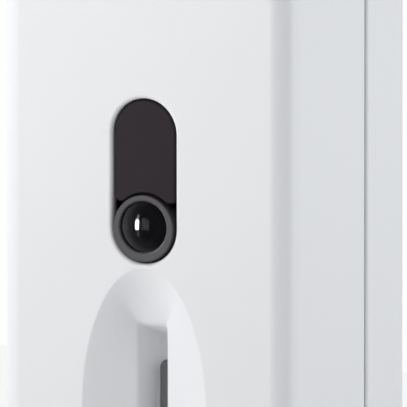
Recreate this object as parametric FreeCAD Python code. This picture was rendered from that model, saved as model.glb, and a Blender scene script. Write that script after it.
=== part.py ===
"""Wall-mounted video doorbell, in millimetres.

The origin is the centre of the back, on the wall. +Z is up, +X is to the right of someone who faces the
doorbell, and the front faces -Y. A "depth" is measured from the front face towards the wall.
"""
import FreeCAD, Part
import math
import os

Vector = FreeCAD.Vector
ALONG_X = Vector(1, 0, 0)
ALONG_Y = Vector(0, 1, 0)
ALONG_Z = Vector(0, 0, 1)

# ---------------------------------------------------------------- driving sizes

# body
body_width = 84.0
body_height = 182.0
body_depth = 64.0
cover_depth = 41.85        # front face to the parting line
seam_gap = 1.6             # shadow line between the two shells
seam_edge_radius = 0.3     # on the front cover's edge along that line
base_edge_radius = 1.3     # on the rear base's edge along it
side_radius = 8.0          # corners of the outline, seen from the front
edge_radius = 5.9          # the soft edge all round the front face
back_edge_radius = 1.0
front_wall = 2.6
shell_wall = 2.4
slip = 0.2                 # between parts that are laid into each other
screw_slip = 0.05          # round a screw in its pilot hole

# lip and seal at the parting line
lip_height = 3.8
lip_wall = 1.4
seal_inset = 0.8           # seal behind the outer skin
seal_width = 1.2

# window opening
window_z = 35.9            # centre of the opening
opening_width = 18.2
opening_height = 42.5
rim_radius = 1.1

# call plate
plate_gap = 0.3            # plate to opening
plate_recess = 0.5
plate_chamfer = 0.45
plate_below_centre = 5.6   # straight lower edge, below the window's centre
plate_corner = 1.6
plate_flange_step = 0.35   # flange past the opening
plate_flange = 1.0
plate_play = 0.15          # flange behind the front wall
call_travel = 0.8
stem_above_centre = 8.4
stem_radius = 1.5
stem_gap = 0.3
stem_past_tray = 0.3

# window tray
tray_seal_thickness = 0.4
tray_flange = 1.6
tray_wall = 1.2
tray_floor = 1.6
tray_floor_depth = 7.4
pocket_gap = 0.25          # call plate flange to tray
tray_half_width = 21.0
tray_reach_up = 26.0       # flange above the window's centre
tray_reach_down = 20.6     # and below it
tray_corner = 4.0
tray_screw_x = 18.2
tray_screw_up = 11.5       # from the window's centre
tray_screw_down = 13.6
tray_screw_length = 3.1
tray_screw_head = 3.2
boss_radius = 2.3

# arched leaf spring
leaf_thickness = 0.25
leaf_width = 5.0
leaf_span = 13.0

# camera window
ring_radius = 8.6
ring_proud = 0.4           # the ring's face in front of the front face
ring_shoulder = 0.3        # rounding of its outer edge
ring_lip = 0.55            # rounding of its bore
camera_up = 0.4            # camera's axis above the ring's
dome_radius = 6.5
dome_rise = 2.4
dome_start = 0.1           # the dome's foot in front of the front face
dome_wall = 1.0
dome_flange_radius = 7.7
dome_flange_depth = 1.2
dome_flange = 1.0
dome_seal_thickness = 0.8
dome_seal_inner = 6.3
seat_inner = 5.8
seat_outer = 7.6
ring_clearance = 0.1

# lens
barrel_start = 1.0
barrel_head_radius = 4.6
barrel_head_length = 5.0
barrel_radius = 4.0
barrel_length = 13.0
barrel_bore = 2.5
lens_radius = 3.4
lens_thickness = 1.6
lens_crown = 0.7
lens_recess = 0.6
rear_lens_thickness = 1.5

# lens holder with the sliding filters
holder_gap = 0.6           # behind the tray
holder_half_width = 12.5
holder_half_height = 8.0
holder_length = 10.2
filter_slot_half_height = 4.8
filter_slot_end_wall = 1.5
filter_slot_from_front = 5.0
filter_slot_thickness = 1.8
carrier_thickness = 1.2
carrier_gap = 0.3
filter_travel = 7.0
filter_radius = 3.0
filter_thickness = 0.5
filter_ledge = 0.5
light_hole_radius = 3.2
sensor_room_depth = 2.6
sensor_room_half_width = 5.0
sensor_room_half_height = 4.5
image_sensor_width = 7.2
image_sensor_height = 6.0
image_sensor_thickness = 1.2
holder_screw_x = 10.2
holder_screw_z = 6.4
coil_half_width = 4.0
coil_height = 4.5
coil_length = 6.0

# small boards behind the window
board_thickness = 1.2
board_half_width = 18.0
post_x = 15.5
post_radius = 2.0
camera_post_z = 6.5
camera_board_half_height = 9.2
sensor_board_down = 2.8    # from the window's centre
sensor_board_up = 23.0
sensor_post_low = 0.4
sensor_post_high = 19.8
small_screw_radius = 0.8
small_head_radius = 1.6
small_head_height = 1.0
small_screw_length = 5.0

# parts on the sensor board
switch_side = 6.0
switch_height = 3.6
plunger_radius = 1.6
plunger_fit = 0.06
plunger_inside = 1.2
plunger_meets_stem = 0.05
plunger_clear = 0.3
stem_seal_radius = 2.9
stem_seal_thickness = 0.8
stem_seal_fit = 0.08
lamp_radius = 1.5
lamp_rim = 0.4
lamp_rim_height = 1.0
lamp_x = 6.0
lamp_low = 2.3
lamp_high = 14.5
lamp_under_floor = 0.3     # tip past the tray floor's front
light_sensor_side = 2.6
light_sensor_height = 1.0
light_sensor_up = 17.5
light_sensor_hole = 1.5

# sound dish and slot
dish_z = -23.7
dish_half_width = 17.95
dish_half_height = 37.3
dish_depth = 5.4
dish_wall = 2.2
slot_half_width = 3.7
slot_half_height = 22.0
slot_floor_depth = 13.2
dish_split = 60.0          # degrees up the ellipse where the side walls meet the scoops
mouth_radius = 1.0         # the slot's edges in the dish

# sound grille
grille_half_width = 2.05
grille_half_height = 12.15
grille_crown = 0.9         # round edges of the strip, which stands this far out of the slot's floor
grille_flange = 0.8
grille_flange_step = 1.2
grille_slip = 0.05
grille_rim = 0.25          # chamfer round its opening in the floor

# loudspeaker
speaker_wall = 2.2         # baffle thickness
baffle_radius = 20.0
chamber_radius = 16.5
chamber_depth = 2.1
speaker_gasket_thickness = 0.8
speaker_gasket_inner = 16.8
speaker_gasket_outer = 19.0
speaker_radius = 19.0
speaker_flange = 1.2
speaker_flange_inner = 15.0
basket_radius = 17.0
basket_wall = 1.0
basket_length = 7.5
cone_outer = 12.5
cone_wall = 0.5
cone_depth = 5.0
coil_radius = 5.2
coil_wall = 0.4
coil_reach = 4.0
coil_gap = 0.4
magnet_radius = 9.0
coil_floor_gap = 0.3       # left under the coil at full travel
pole_face = 1.2
surround_thickness = 0.4
surround_rise = 1.0
cone_excursion = 0.5
clamp_half_side = 22.5
clamp_corner = 5.0
clamp_thickness = 1.5
clamp_screw_offset = 19.0
clamp_boss_radius = 3.0
clamp_screw_length = 8.0
medium_screw_radius = 1.1
medium_head_radius = 2.2
medium_head_height = 1.4

# microphone
microphone_depth = 14.0
microphone_radius = 3.0
microphone_height = 2.7
boot_wall = 1.0
boot_floor = 1.2
boot_height = 4.6
boot_ring_wall = 1.4
sound_port_radius = 0.8

# wall plate
plate_side_margin = 5.0    # plate inside the body's sides
plate_end_margin = 13.5    # and inside its top and bottom
plate_sheet = 1.5
plate_sheet_corner = 5.0
plate_slip = 0.4
head_room = 3.0            # behind the base's back wall, for the wall screws' heads
pad_radius = 3.5
pad_inset = 7.0
wall_screw_spacing_x = 52.0
wall_screw_spacing_z = 120.0
wall_hole_radius = 2.25
box_screw_spacing = 60.0
box_slot_length = 8.0
box_slot_radius = 2.1
cable_above_bottom = 27.0
cable_window_half_width = 12.0
cable_window_half_height = 8.5
hook_x = 20.0
hook_z = 44.0
hook_half_width = 5.0
hook_rise = 5.0
hook_slip = 0.3
tab_half_width = 7.0
tab_reach = 12.0
lock_screw_y = 9.0
lock_screw_radius = 1.5
lock_screw_head = 2.8
lock_head_height = 1.2
lock_head_sink = 1.5
lock_socket = 1.2
lock_screw_past_tab = 2.0

# rear base
base_back_wall = 2.4
cover_screw_side_margin = 6.8
cover_screw_end_margin = 7.0
cover_post_radius = 3.2
cover_screw_radius = 1.5
cover_screw_head = 2.8
cover_head_height = 1.8
cover_head_sink = 3.0
cover_screw_grip = 9.0
rib_thickness = 2.0

# main board
main_board_thickness = 1.6
main_board_side_margin = 10.0
main_board_above_bottom = 41.0
main_board_below_top = 23.0
main_post_height = 5.0
main_post_radius = 3.0
main_post_inset = 4.0
shield_side = 24.0
shield_height = 3.0
shield_wall = 0.4
shield_x = -12.0
shield_z = 4.0
capacitor_radius = 4.0
capacitor_height = 12.0
capacitor_inset = 8.0      # from the main board's +X edge
capacitor_z = -28.0
capacitor_pitch = 10.0
terminal_count = 4
terminal_pitch = 5.0
terminal_height = 9.0
terminal_length = 8.0
terminal_above_edge = 1.5
terminal_screw_radius = 1.6
terminal_screw_sink = 1.0
terminal_screw_length = 4.0
terminal_mouth = 3.2
antenna_length = 9.0
antenna_width = 3.0
antenna_height = 1.0
antenna_from_edge = 1.0

# ribbons
ribbon_width = 8.0
ribbon_thickness = 0.3
connector_height = 2.0
connector_depth = 4.0
connector_side = 1.5       # past the ribbon on each side
ribbon_drop = 5.0
camera_ribbon_above = 1.5  # from the camera's axis
sensor_ribbon_above = 12.0 # from the window's centre

# cable grommet
grommet_bore = 3.5
grommet_radius = 7.0
grommet_groove_radius = 5.5
grommet_lip = 1.3

# ---------------------------------------------------------------- derived places

front_y = -body_depth
half_width = body_width / 2
half_height = body_height / 2
plate_half_width = half_width - plate_side_margin
plate_half_height = half_height - plate_end_margin
cover_screw_x = half_width - cover_screw_side_margin
cover_screw_z = half_height - cover_screw_end_margin
main_board_half_width = half_width - main_board_side_margin
main_board_low = -half_height + main_board_above_bottom
main_board_high = half_height - main_board_below_top
cable_z = -half_height + cable_above_bottom
base_front_depth = cover_depth + seam_gap
opening_half = opening_width / 2
arc_rise = (opening_height - opening_width) / 2
ring_z = window_z - arc_rise
camera_z = ring_z + camera_up
flange_half = opening_half + plate_flange_step
pocket_half = flange_half + pocket_gap
tray_front = front_wall + tray_seal_thickness
tray_back = tray_floor_depth + tray_floor
plate_back = front_wall + plate_play + plate_flange
stem_z = window_z + stem_above_centre
stem_end = tray_back + stem_past_tray
plunger_front = stem_end + plunger_meets_stem
switch_front = plunger_front + call_travel + plunger_clear
sensor_board_front = switch_front + switch_height
sensor_board_back = sensor_board_front + board_thickness
dome_foot = -dome_start
dome_flange_back = dome_flange_depth + dome_flange
seat_front = dome_flange_back + dome_seal_thickness
skirt_inner = dome_flange_radius + ring_clearance
holder_front = tray_back + holder_gap
camera_board_front = holder_front + holder_length
camera_board_back = camera_board_front + board_thickness
slot_front = holder_front + filter_slot_from_front
slot_back = slot_front + filter_slot_thickness
carrier_front = slot_front + carrier_gap
baffle_back = slot_floor_depth + speaker_wall
collar_end = baffle_back + chamber_depth
speaker_front = collar_end + speaker_gasket_thickness
clamp_front = speaker_front + speaker_flange
basket_end = clamp_front + basket_length
magnet_length = coil_reach + cone_excursion + coil_floor_gap + pole_face
pocket_depth = plate_sheet + head_room
base_wall_y = -(pocket_depth + base_back_wall)
main_board_back_y = base_wall_y - main_post_height
main_board_front_y = main_board_back_y - main_board_thickness
main_board_front_depth = body_depth + main_board_front_y
boot_radius = microphone_radius + boot_wall
floor_z = -half_height + shell_wall
tab_z = -plate_half_height


# ---------------------------------------------------------------- shape helpers

def at(x, depth, z):
    """A point by its depth behind the front face."""
    return Vector(x, front_y + depth, z)


def block(x0, x1, depth0, depth1, z0, z1):
    return Part.makeBox(x1 - x0, depth1 - depth0, z1 - z0, at(x0, depth0, z0))


def rod(radius, depth0, depth1, x, z):
    """A cylinder square to the front face."""
    return Part.makeCylinder(radius, depth1 - depth0, at(x, depth0, z), ALONG_Y)


def tube(outer, inner, depth0, depth1, x, z):
    return rod(outer, depth0, depth1, x, z).cut(rod(inner, depth0, depth1, x, z))


def upright(radius, z0, z1, x, y):
    """A cylinder along Z, placed in the frame's own x and y."""
    return Part.makeCylinder(radius, z1 - z0, Vector(x, y, z0), ALONG_Z)


def fillet_where(shape, radius, wanted):
    """Round the edges for which wanted(edge) is true."""
    return shape.makeFillet(radius, [edge for edge in shape.Edges if wanted(edge)])


def is_along(edge, axis):
    ends = edge.Vertexes
    if len(ends) < 2 or not isinstance(edge.Curve, Part.Line):
        return False
    run = ends[1].Point.sub(ends[0].Point)
    return abs(run.dot(axis)) > 0.999 * run.Length


def lies_at_depth(edge, depth):
    box = edge.BoundBox
    return abs(box.YMin - front_y - depth) < 0.01 and abs(box.YMax - front_y - depth) < 0.01


def rounded_slab(half_x, z0, z1, corner, depth0, depth1):
    slab = block(-half_x, half_x, depth0, depth1, z0, z1)
    return fillet_where(slab, corner, lambda edge: is_along(edge, ALONG_Y))


def stadium(half, rise, depth0, depth1, z):
    """An upright slab with round ends: half is its half width, rise the arc centres' distance from z."""
    middle = block(-half, half, depth0, depth1, z - rise, z + rise)
    ends = [rod(half, depth0, depth1, 0, z + side * rise) for side in (-1, 1)]
    return middle.fuse(ends).removeSplitter()


def turned(profile, z, x=0.0):
    """A solid of revolution about an axis square to the front face; profile holds (radius, depth) pairs."""
    points = [Vector(radius, front_y + depth, 0) for radius, depth in profile]
    face = Part.Face(Part.makePolygon(points + points[:1]))
    solid = face.revolve(Vector(0, 0, 0), ALONG_Y, 360)
    solid.translate(Vector(x, 0, z))
    return solid


def ball(radius, depth, z, x=0.0):
    return Part.makeSphere(radius, at(x, depth, z))


def crossed(head_x, head_z, face_depth, depth_in, width):
    """The cross cut into a screw's head, reaching from the face to both sides of it."""
    arm = 0.2 * width
    low = min(face_depth, face_depth + depth_in)
    high = max(face_depth, face_depth + depth_in)
    flat = block(head_x - width / 2, head_x + width / 2, low, high, head_z - arm / 2, head_z + arm / 2)
    tall = block(head_x - arm / 2, head_x + arm / 2, low, high, head_z - width / 2, head_z + width / 2)
    return flat.fuse(tall)


def screw_from_back(x, z, seat_depth, length, radius, head_radius, head_height):
    """A pan-head screw driven towards the front: its head's underside is at seat_depth."""
    head = rod(head_radius, seat_depth, seat_depth + head_height, x, z)
    shank = rod(radius, seat_depth - length, seat_depth, x, z)
    cross = crossed(x, z, seat_depth + head_height, -0.5 * head_height, head_radius)
    return head.fuse(shank).cut(cross)


def bent_strip(points, thickness, width, x=0.0):
    """A flat strip bent along a path of (depth, z) points, with mitred bends."""
    half = thickness / 2
    left, right = [], []
    for index, (depth, z) in enumerate(points):
        before = points[max(index - 1, 0)]
        after = points[min(index + 1, len(points) - 1)]
        turn_in = math.atan2(z - before[1], depth - before[0]) if index else None
        turn_out = math.atan2(after[1] - z, after[0] - depth) if index < len(points) - 1 else None
        turn_in = turn_out if turn_in is None else turn_in
        turn_out = turn_in if turn_out is None else turn_out
        middle = (turn_in + turn_out) / 2
        reach = half / math.cos((turn_out - turn_in) / 2)
        step = (-math.sin(middle) * reach, math.cos(middle) * reach)
        left.append(at(x - width / 2, depth + step[0], z + step[1]))
        right.append(at(x - width / 2, depth - step[0], z - step[1]))
    outline = left + right[::-1]
    face = Part.Face(Part.makePolygon(outline + outline[:1]))
    return face.extrude(Vector(width, 0, 0))


def group(shapes):
    return Part.makeCompound(shapes)


# ---------------------------------------------------------------- the dish and its slot

def ellipse_arcs(half_x, half_z, depth):
    """The ellipse as four arcs: right, top, left, bottom, each turning from +X towards +Z."""
    curve = Part.Ellipse(Vector(0, 0, 0), half_z, half_x)
    split = math.radians(dish_split)
    # the ellipse's own angle runs from its long axis, so the long axis is turned onto Z
    corners = [split, math.pi - split, math.pi + split, 2 * math.pi - split, 2 * math.pi + split]
    arcs = []
    for start, end in ((corners[3], corners[4]), (corners[0], corners[1]),
                       (corners[1], corners[2]), (corners[2], corners[3])):
        arc = Part.ArcOfEllipse(curve, start - math.pi / 2, end - math.pi / 2).toShape()
        arc.rotate(Vector(0, 0, 0), ALONG_Z, 90)
        arc.rotate(Vector(0, 0, 0), ALONG_X, 90)
        arc.translate(at(0, depth, dish_z))
        arcs.append(arc)
    return arcs


def slot_lines(half_x, half_z, depth):
    """The slot's mouth as four lines in the same order as the arcs."""
    corners = [(half_x, -half_z), (half_x, half_z), (-half_x, half_z), (-half_x, -half_z)]
    points = [at(x, depth, dish_z + z) for x, z in corners]
    return [Part.makeLine(points[index], points[(index + 1) % 4]) for index in range(4)]


def funnel(dish_x, dish_height, mouth_x, mouth_height, depth0, depth1):
    """The ruled solid between an ellipse and the slot's mouth behind it."""
    outer = ellipse_arcs(dish_x, dish_height, depth0)
    inner = slot_lines(mouth_x, mouth_height, depth1)
    faces = [Part.makeRuledSurface(arc, line) for arc, line in zip(outer, inner)]
    faces.append(Part.Face(Part.Wire(outer)))
    faces.append(Part.Face(Part.Wire(inner)))
    shell = Part.Shell(faces)
    shell.sewShape()
    solid = Part.Solid(shell)
    return solid if solid.Volume > 0 else solid.reversed()


def slot_hole(extra_side, depth0, depth1):
    half_x = slot_half_width + extra_side
    half_z = slot_half_height + extra_side
    return block(-half_x, half_x, depth0, depth1, dish_z - half_z, dish_z + half_z)


def mouth_round(dish_half, slot_half):
    """Where the dish's slope runs into the slot's round edge: (half size there, arc centre's extra depth)."""
    slope = math.atan2(dish_depth, dish_half - slot_half - mouth_radius / 2)
    return slot_half + mouth_radius * (1 - math.sin(slope)), mouth_radius * math.cos(slope)


def dish_void():
    """The open space of the dish and the slot, with the slot's edges rounded."""
    mouth_x, side_drop = mouth_round(dish_half_width, slot_half_width)
    mouth_z, end_drop = mouth_round(dish_half_height, slot_half_height)
    dish = funnel(dish_half_width, dish_half_height, mouth_x, mouth_z, 0, dish_depth)
    drop = max(side_drop, end_drop)
    flare = block(-mouth_x, mouth_x, dish_depth, dish_depth + drop, dish_z - mouth_z, dish_z + mouth_z)
    for side in (-1, 1):
        edge_x = side * (slot_half_width + mouth_radius)
        edge_z = dish_z + side * (slot_half_height + mouth_radius)
        flare = flare.cut(Part.makeCylinder(mouth_radius, body_height, at(edge_x, dish_depth + side_drop,
                                                                          -half_height), ALONG_Z))
        flare = flare.cut(Part.makeCylinder(mouth_radius, body_width, at(-half_width, dish_depth + end_drop,
                                                                         edge_z), ALONG_X))
    slot = slot_hole(0, dish_depth, slot_floor_depth)
    return dish.fuse([flare, slot])


def dish_backing():
    """The plastic behind the dish and round the slot, down to the speaker's baffle."""
    backing = funnel(dish_half_width + dish_wall, dish_half_height + dish_wall,
                     slot_half_width + dish_wall, slot_half_height + dish_wall, 0, dish_depth + dish_wall)
    slot = slot_hole(dish_wall, dish_depth, baffle_back)
    baffle = rod(baffle_radius, slot_floor_depth, collar_end, 0, dish_z)
    return [backing, slot, baffle]


# ---------------------------------------------------------------- shells

def shell_block(depth0, depth1, inset):
    return rounded_slab(half_width - inset, -half_height + inset, half_height - inset,
                        side_radius - inset, depth0, depth1)


def front_soft_block(depth0, depth1, inset):
    slab = shell_block(depth0, depth1, inset)
    return fillet_where(slab, edge_radius - inset, lambda edge: lies_at_depth(edge, depth0))


def corners(x, z):
    return [(side_x * x, side_z * z) for side_x in (-1, 1) for side_z in (-1, 1)]


def tray_screw_places():
    return [(side * tray_screw_x, window_z + z) for side in (-1, 1)
            for z in (tray_screw_up, -tray_screw_down)]


def clamp_screw_places():
    return [(x, dish_z + z) for x, z in corners(clamp_screw_offset, clamp_screw_offset)]


def seam_rounded(shell, depth, radius):
    return fillet_where(shell, radius, lambda edge: lies_at_depth(edge, depth))


def front_cover():
    cover = seam_rounded(front_soft_block(0, cover_depth, 0), cover_depth, seam_edge_radius)
    cover = cover.cut(front_soft_block(front_wall, cover_depth, shell_wall))
    solids = dish_backing()
    for x, z in corners(cover_screw_x, cover_screw_z):
        solids.append(rod(cover_post_radius, front_wall / 2, base_front_depth, x, z))
        wall_x = math.copysign(half_width - shell_wall / 2, x)
        solids.append(block(min(x, wall_x), max(x, wall_x), front_wall / 2, cover_depth - lip_height - slip,
                            z - rib_thickness / 2, z + rib_thickness / 2))
    for x, z in clamp_screw_places():
        solids.append(rod(clamp_boss_radius, front_wall / 2, clamp_front, x, z))
    for x, z in tray_screw_places():
        solids.append(rod(boss_radius, front_wall / 2, tray_front + tray_flange, x, z))
    ring_inner = boot_radius + slip / 2
    ring_y = front_y + microphone_depth
    solids.append(upright(ring_inner + boot_ring_wall, floor_z - shell_wall / 2, floor_z + boot_height,
                          0, ring_y))
    cover = cover.fuse(solids).removeSplitter()

    # the shell is kept inside its own outline
    cover = cover.common(front_soft_block(0, base_front_depth, 0))
    cuts = [
        rod(chamber_radius, baffle_back, collar_end, 0, dish_z),
        grille_opening(grille_slip, slot_floor_depth - slip, baffle_back),
        grille_countersink(),
        window_opening(),
        window_tray_outline(slip),
        upright(ring_inner, floor_z, floor_z + boot_height, 0, ring_y),
        upright(sound_port_radius, -half_height, floor_z, 0, ring_y),
    ]
    for x, z in corners(cover_screw_x, cover_screw_z):
        cuts.append(rod(cover_screw_radius + screw_slip, base_front_depth - cover_screw_grip,
                        base_front_depth, x, z))
    for x, z in clamp_screw_places():
        cuts.append(rod(medium_screw_radius + screw_slip, clamp_front + clamp_thickness - clamp_screw_length,
                        clamp_front, x, z))
    for x, z in tray_screw_places():
        depth = tray_front + tray_flange
        cuts.append(rod(small_screw_radius + screw_slip, depth - tray_screw_length - slip, depth, x, z))
    cover = cover.cut(cuts)
    return cover.cut(dish_void())


def window_opening():
    """What the opening takes out of the front wall, widened by its rounded rim."""
    reach_x = opening_half + 2 * rim_radius
    reach_z = opening_height / 2 + 2 * rim_radius
    wall = block(-reach_x, reach_x, 0, front_wall, window_z - reach_z, window_z + reach_z)
    rim_wall = wall.cut(stadium(opening_half, arc_rise, 0, front_wall, window_z))
    rim = [edge for edge in rim_wall.Edges if lies_at_depth(edge, 0)
           and max(abs(edge.BoundBox.XMin), abs(edge.BoundBox.XMax)) < opening_half + slip]
    return wall.cut(rim_wall.makeFillet(rim_radius, rim))


def lip_ring(outer_inset, wall, depth0, depth1):
    return shell_block(depth0, depth1, outer_inset).cut(shell_block(depth0, depth1, outer_inset + wall))


def base_holes():
    holes = []
    for x, z in corners(cover_screw_x, cover_screw_z):
        holes.append(rod(cover_screw_radius + slip, base_front_depth, body_depth, x, z))
        holes.append(rod(cover_screw_head + slip, body_depth - cover_head_sink, body_depth, x, z))
    pocket = rounded_slab(plate_half_width + plate_slip, -plate_half_height - plate_slip,
                          plate_half_height + plate_slip, plate_sheet_corner + plate_slip,
                          body_depth - pocket_depth, body_depth)
    for x, z in corners(plate_half_width - pad_inset, plate_half_height - pad_inset):
        pocket = pocket.cut(rod(pad_radius, body_depth - pocket_depth, body_depth - plate_sheet, x, z))
    holes.append(pocket)
    wall_front = body_depth + base_wall_y
    holes.append(rod(grommet_groove_radius, wall_front, body_depth, 0, cable_z))
    for side in (-1, 1):
        x = side * hook_x
        holes.append(block(x - hook_half_width - hook_slip, x + hook_half_width + hook_slip, wall_front,
                           body_depth, hook_z - hook_rise - hook_slip, hook_z + plate_sheet))
    holes.append(block(-tab_half_width - hook_slip, tab_half_width + hook_slip, wall_front, body_depth,
                       tab_z - hook_slip, tab_z + plate_sheet + hook_slip))
    holes.append(upright(lock_screw_radius + slip, -half_height, floor_z, 0, -lock_screw_y))
    holes.append(upright(lock_screw_head + slip, -half_height, -half_height + lock_head_sink,
                         0, -lock_screw_y))
    return holes


def main_post_places():
    return [(side * (main_board_half_width - main_post_inset), z) for side in (-1, 1)
            for z in (main_board_low + main_post_inset, main_board_high - main_post_inset)]


def rear_base():
    outer = shell_block(base_front_depth, body_depth, 0)
    outer = fillet_where(outer, back_edge_radius, lambda edge: lies_at_depth(edge, body_depth))
    outer = seam_rounded(outer, base_front_depth, base_edge_radius)
    base = outer.cut(shell_block(base_front_depth, body_depth + base_wall_y, shell_wall))
    lip = lip_ring(shell_wall + slip, lip_wall, base_front_depth - lip_height, base_front_depth)
    # the lip stands on a short ledge inside the wall
    ledge = lip_ring(shell_wall / 2, lip_wall + slip + shell_wall / 2, base_front_depth,
                     base_front_depth + lip_height)
    solids = [lip, ledge]
    for x, z in corners(cover_screw_x, cover_screw_z):
        solids.append(rod(cover_post_radius, base_front_depth, body_depth + base_wall_y, x, z))
    for x, z in main_post_places():
        solids.append(rod(main_post_radius, body_depth + main_board_back_y, body_depth + base_wall_y, x, z))
    base = base.fuse(solids).removeSplitter()
    cuts = base_holes()
    for x, z in corners(cover_screw_x, cover_screw_z):
        cuts.append(rod(cover_post_radius + slip, base_front_depth - lip_height, base_front_depth, x, z))
        wall_x = math.copysign(half_width, x)
        cuts.append(block(min(x, wall_x), max(x, wall_x), base_front_depth - lip_height, base_front_depth,
                          z - rib_thickness / 2 - slip, z + rib_thickness / 2 + slip))
    for x, z in main_post_places():
        depth = body_depth + main_board_back_y
        cuts.append(rod(small_screw_radius + screw_slip, depth, depth + small_screw_length, x, z))
    return base.cut(cuts)


def body_gasket():
    return lip_ring(seal_inset, seal_width, cover_depth, base_front_depth)


def cover_screws():
    seat = body_depth - cover_head_sink
    length = seat - base_front_depth + cover_screw_grip
    return group([screw_from_back(x, z, seat, length, cover_screw_radius, cover_screw_head, cover_head_height)
                  for x, z in corners(cover_screw_x, cover_screw_z)])


# ---------------------------------------------------------------- window tray and call plate

def cut_below_plate(shape, depth0, depth1):
    """Keep what is above the plate's straight lower edge, round its corners and notch it for the ring."""
    edge_z = window_z - plate_below_centre
    kept = shape.common(block(-body_width, body_width, depth0, depth1, edge_z, body_height))
    kept = fillet_where(kept, plate_corner,
                        lambda edge: is_along(edge, ALONG_Y) and abs(edge.BoundBox.ZMin - edge_z) < 0.01)
    return kept.cut(rod(ring_radius + plate_gap, depth0, depth1, 0, ring_z))


def call_plate():
    plate = cut_below_plate(stadium(opening_half - plate_gap, arc_rise, plate_recess, plate_back, window_z),
                            plate_recess, plate_back)
    front_edges = [edge for edge in plate.Edges if lies_at_depth(edge, plate_recess)]
    plate = plate.makeChamfer(plate_chamfer, front_edges)
    flange = cut_below_plate(stadium(flange_half, arc_rise, plate_back - plate_flange, plate_back, window_z),
                             plate_back - plate_flange, plate_back)
    stem = rod(stem_radius, plate_back - plate_flange / 2, stem_end, 0, stem_z)
    return plate.fuse([flange, stem]).removeSplitter()


def window_tray_outline(extra):
    """The tray's outer shape behind the front wall; extra is the room left round it."""
    cup = stadium(pocket_half + tray_wall + extra, arc_rise, front_wall, tray_back + extra, window_z)
    lower = rod(ring_radius + pocket_gap + tray_wall + extra, front_wall, tray_back + extra, 0, ring_z)
    low_half = block(-body_width, body_width, front_wall, tray_back + extra, -half_height, ring_z)
    return cup.cut(low_half).fuse(lower)


def window_tray():
    flange = rounded_slab(tray_half_width, window_z - tray_reach_down, window_z + tray_reach_up, tray_corner,
                          tray_front, tray_front + tray_flange)
    outline = window_tray_outline(0)
    outline = outline.cut(block(-body_width, body_width, front_wall, tray_front, -half_height, half_height))
    solids = [outline]
    for x, z in camera_posts():
        solids.append(rod(post_radius, tray_front + tray_flange / 2, camera_board_front, x, z))
    for x, z in sensor_posts():
        solids.append(rod(post_radius, tray_front + tray_flange / 2, sensor_board_front, x, z))
    tray = flange.fuse(solids).removeSplitter()
    pocket = stadium(pocket_half, arc_rise, tray_front, tray_floor_depth, window_z)
    low_half = block(-body_width, body_width, tray_front, tray_floor_depth, -half_height, ring_z)
    ring_pocket = rod(ring_radius + pocket_gap, tray_front, tray_floor_depth, 0, ring_z)
    pocket = pocket.cut(low_half).fuse(ring_pocket)
    tray = tray.cut(pocket)
    seat = rod(seat_outer, seat_front, tray_floor_depth + tray_floor / 2, 0, camera_z)
    tray = tray.fuse(seat)
    cuts = [
        rod(seat_inner, seat_front, tray_back, 0, camera_z),
        rod(stem_radius + stem_gap, tray_floor_depth, tray_back, 0, stem_z),
        rod(stem_seal_radius, tray_back - stem_seal_thickness, tray_back, 0, stem_z),
        rod(light_sensor_hole, tray_floor_depth, tray_back, 0, window_z + light_sensor_up),
    ]
    for x, z in lamp_places():
        cuts.append(rod(lamp_radius + slip, tray_floor_depth, tray_back, x, z))
    for x, z in tray_screw_places():
        cuts.append(rod(boss_radius + slip, tray_front, tray_front + tray_flange, x, z))
    for x, z in camera_posts():
        cuts.append(rod(small_screw_radius + screw_slip, camera_board_back - small_screw_length,
                        camera_board_front, x, z))
    for x, z in sensor_posts():
        cuts.append(rod(small_screw_radius + screw_slip, sensor_board_back - small_screw_length,
                        sensor_board_front, x, z))
    return tray.cut(cuts)


def tray_seal():
    pad = rounded_slab(tray_half_width, window_z - tray_reach_down, window_z + tray_reach_up, tray_corner,
                       front_wall, tray_front)
    pad = pad.cut(window_tray_outline(slip))
    return pad.cut([rod(boss_radius + slip, front_wall, tray_front, x, z) for x, z in tray_screw_places()])


def tray_screws():
    seat = tray_front + tray_flange
    return group([screw_from_back(x, z, seat, tray_screw_length, small_screw_radius, tray_screw_head,
                                  small_head_height) for x, z in tray_screw_places()])


def return_spring():
    rise = tray_floor_depth - plate_back
    half = leaf_span / 2
    radius = (half * half + rise * rise) / (2 * rise)
    centre_depth = plate_back + radius
    ring = Part.makeCylinder(radius, leaf_width, at(-leaf_width / 2, centre_depth, stem_z), ALONG_X)
    hollow = Part.makeCylinder(radius - leaf_thickness, leaf_width, at(-leaf_width / 2, centre_depth, stem_z),
                               ALONG_X)
    room = block(-leaf_width, leaf_width, plate_back - slip, tray_floor_depth, stem_z - leaf_span,
                 stem_z + leaf_span)
    leaf = ring.cut(hollow).common(room)
    return leaf.cut(rod(stem_radius + stem_gap, plate_back - slip, tray_floor_depth, 0, stem_z))


def stem_seal():
    return tube(stem_seal_radius, stem_radius + stem_seal_fit, tray_back - stem_seal_thickness, tray_back,
                0, stem_z)


# ---------------------------------------------------------------- sensor board

def sensor_posts():
    return [(side * post_x, window_z + z) for side in (-1, 1) for z in (sensor_post_low, sensor_post_high)]


def camera_posts():
    return [(side * post_x, camera_z + z) for side in (-1, 1) for z in (-camera_post_z, camera_post_z)]


def lamp_places():
    return [(side * lamp_x, window_z + z) for side in (-1, 1) for z in (lamp_low, lamp_high)]


def sensor_board():
    board = block(-board_half_width, board_half_width, sensor_board_front, sensor_board_back,
                  window_z - sensor_board_down, window_z + sensor_board_up)
    return board.cut([rod(small_screw_radius + screw_slip, sensor_board_front, sensor_board_back, x, z)
                      for x, z in sensor_posts()])


def small_screws(places, seat):
    return group([screw_from_back(x, z, seat, small_screw_length, small_screw_radius, small_head_radius,
                                  small_head_height) for x, z in places])


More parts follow.
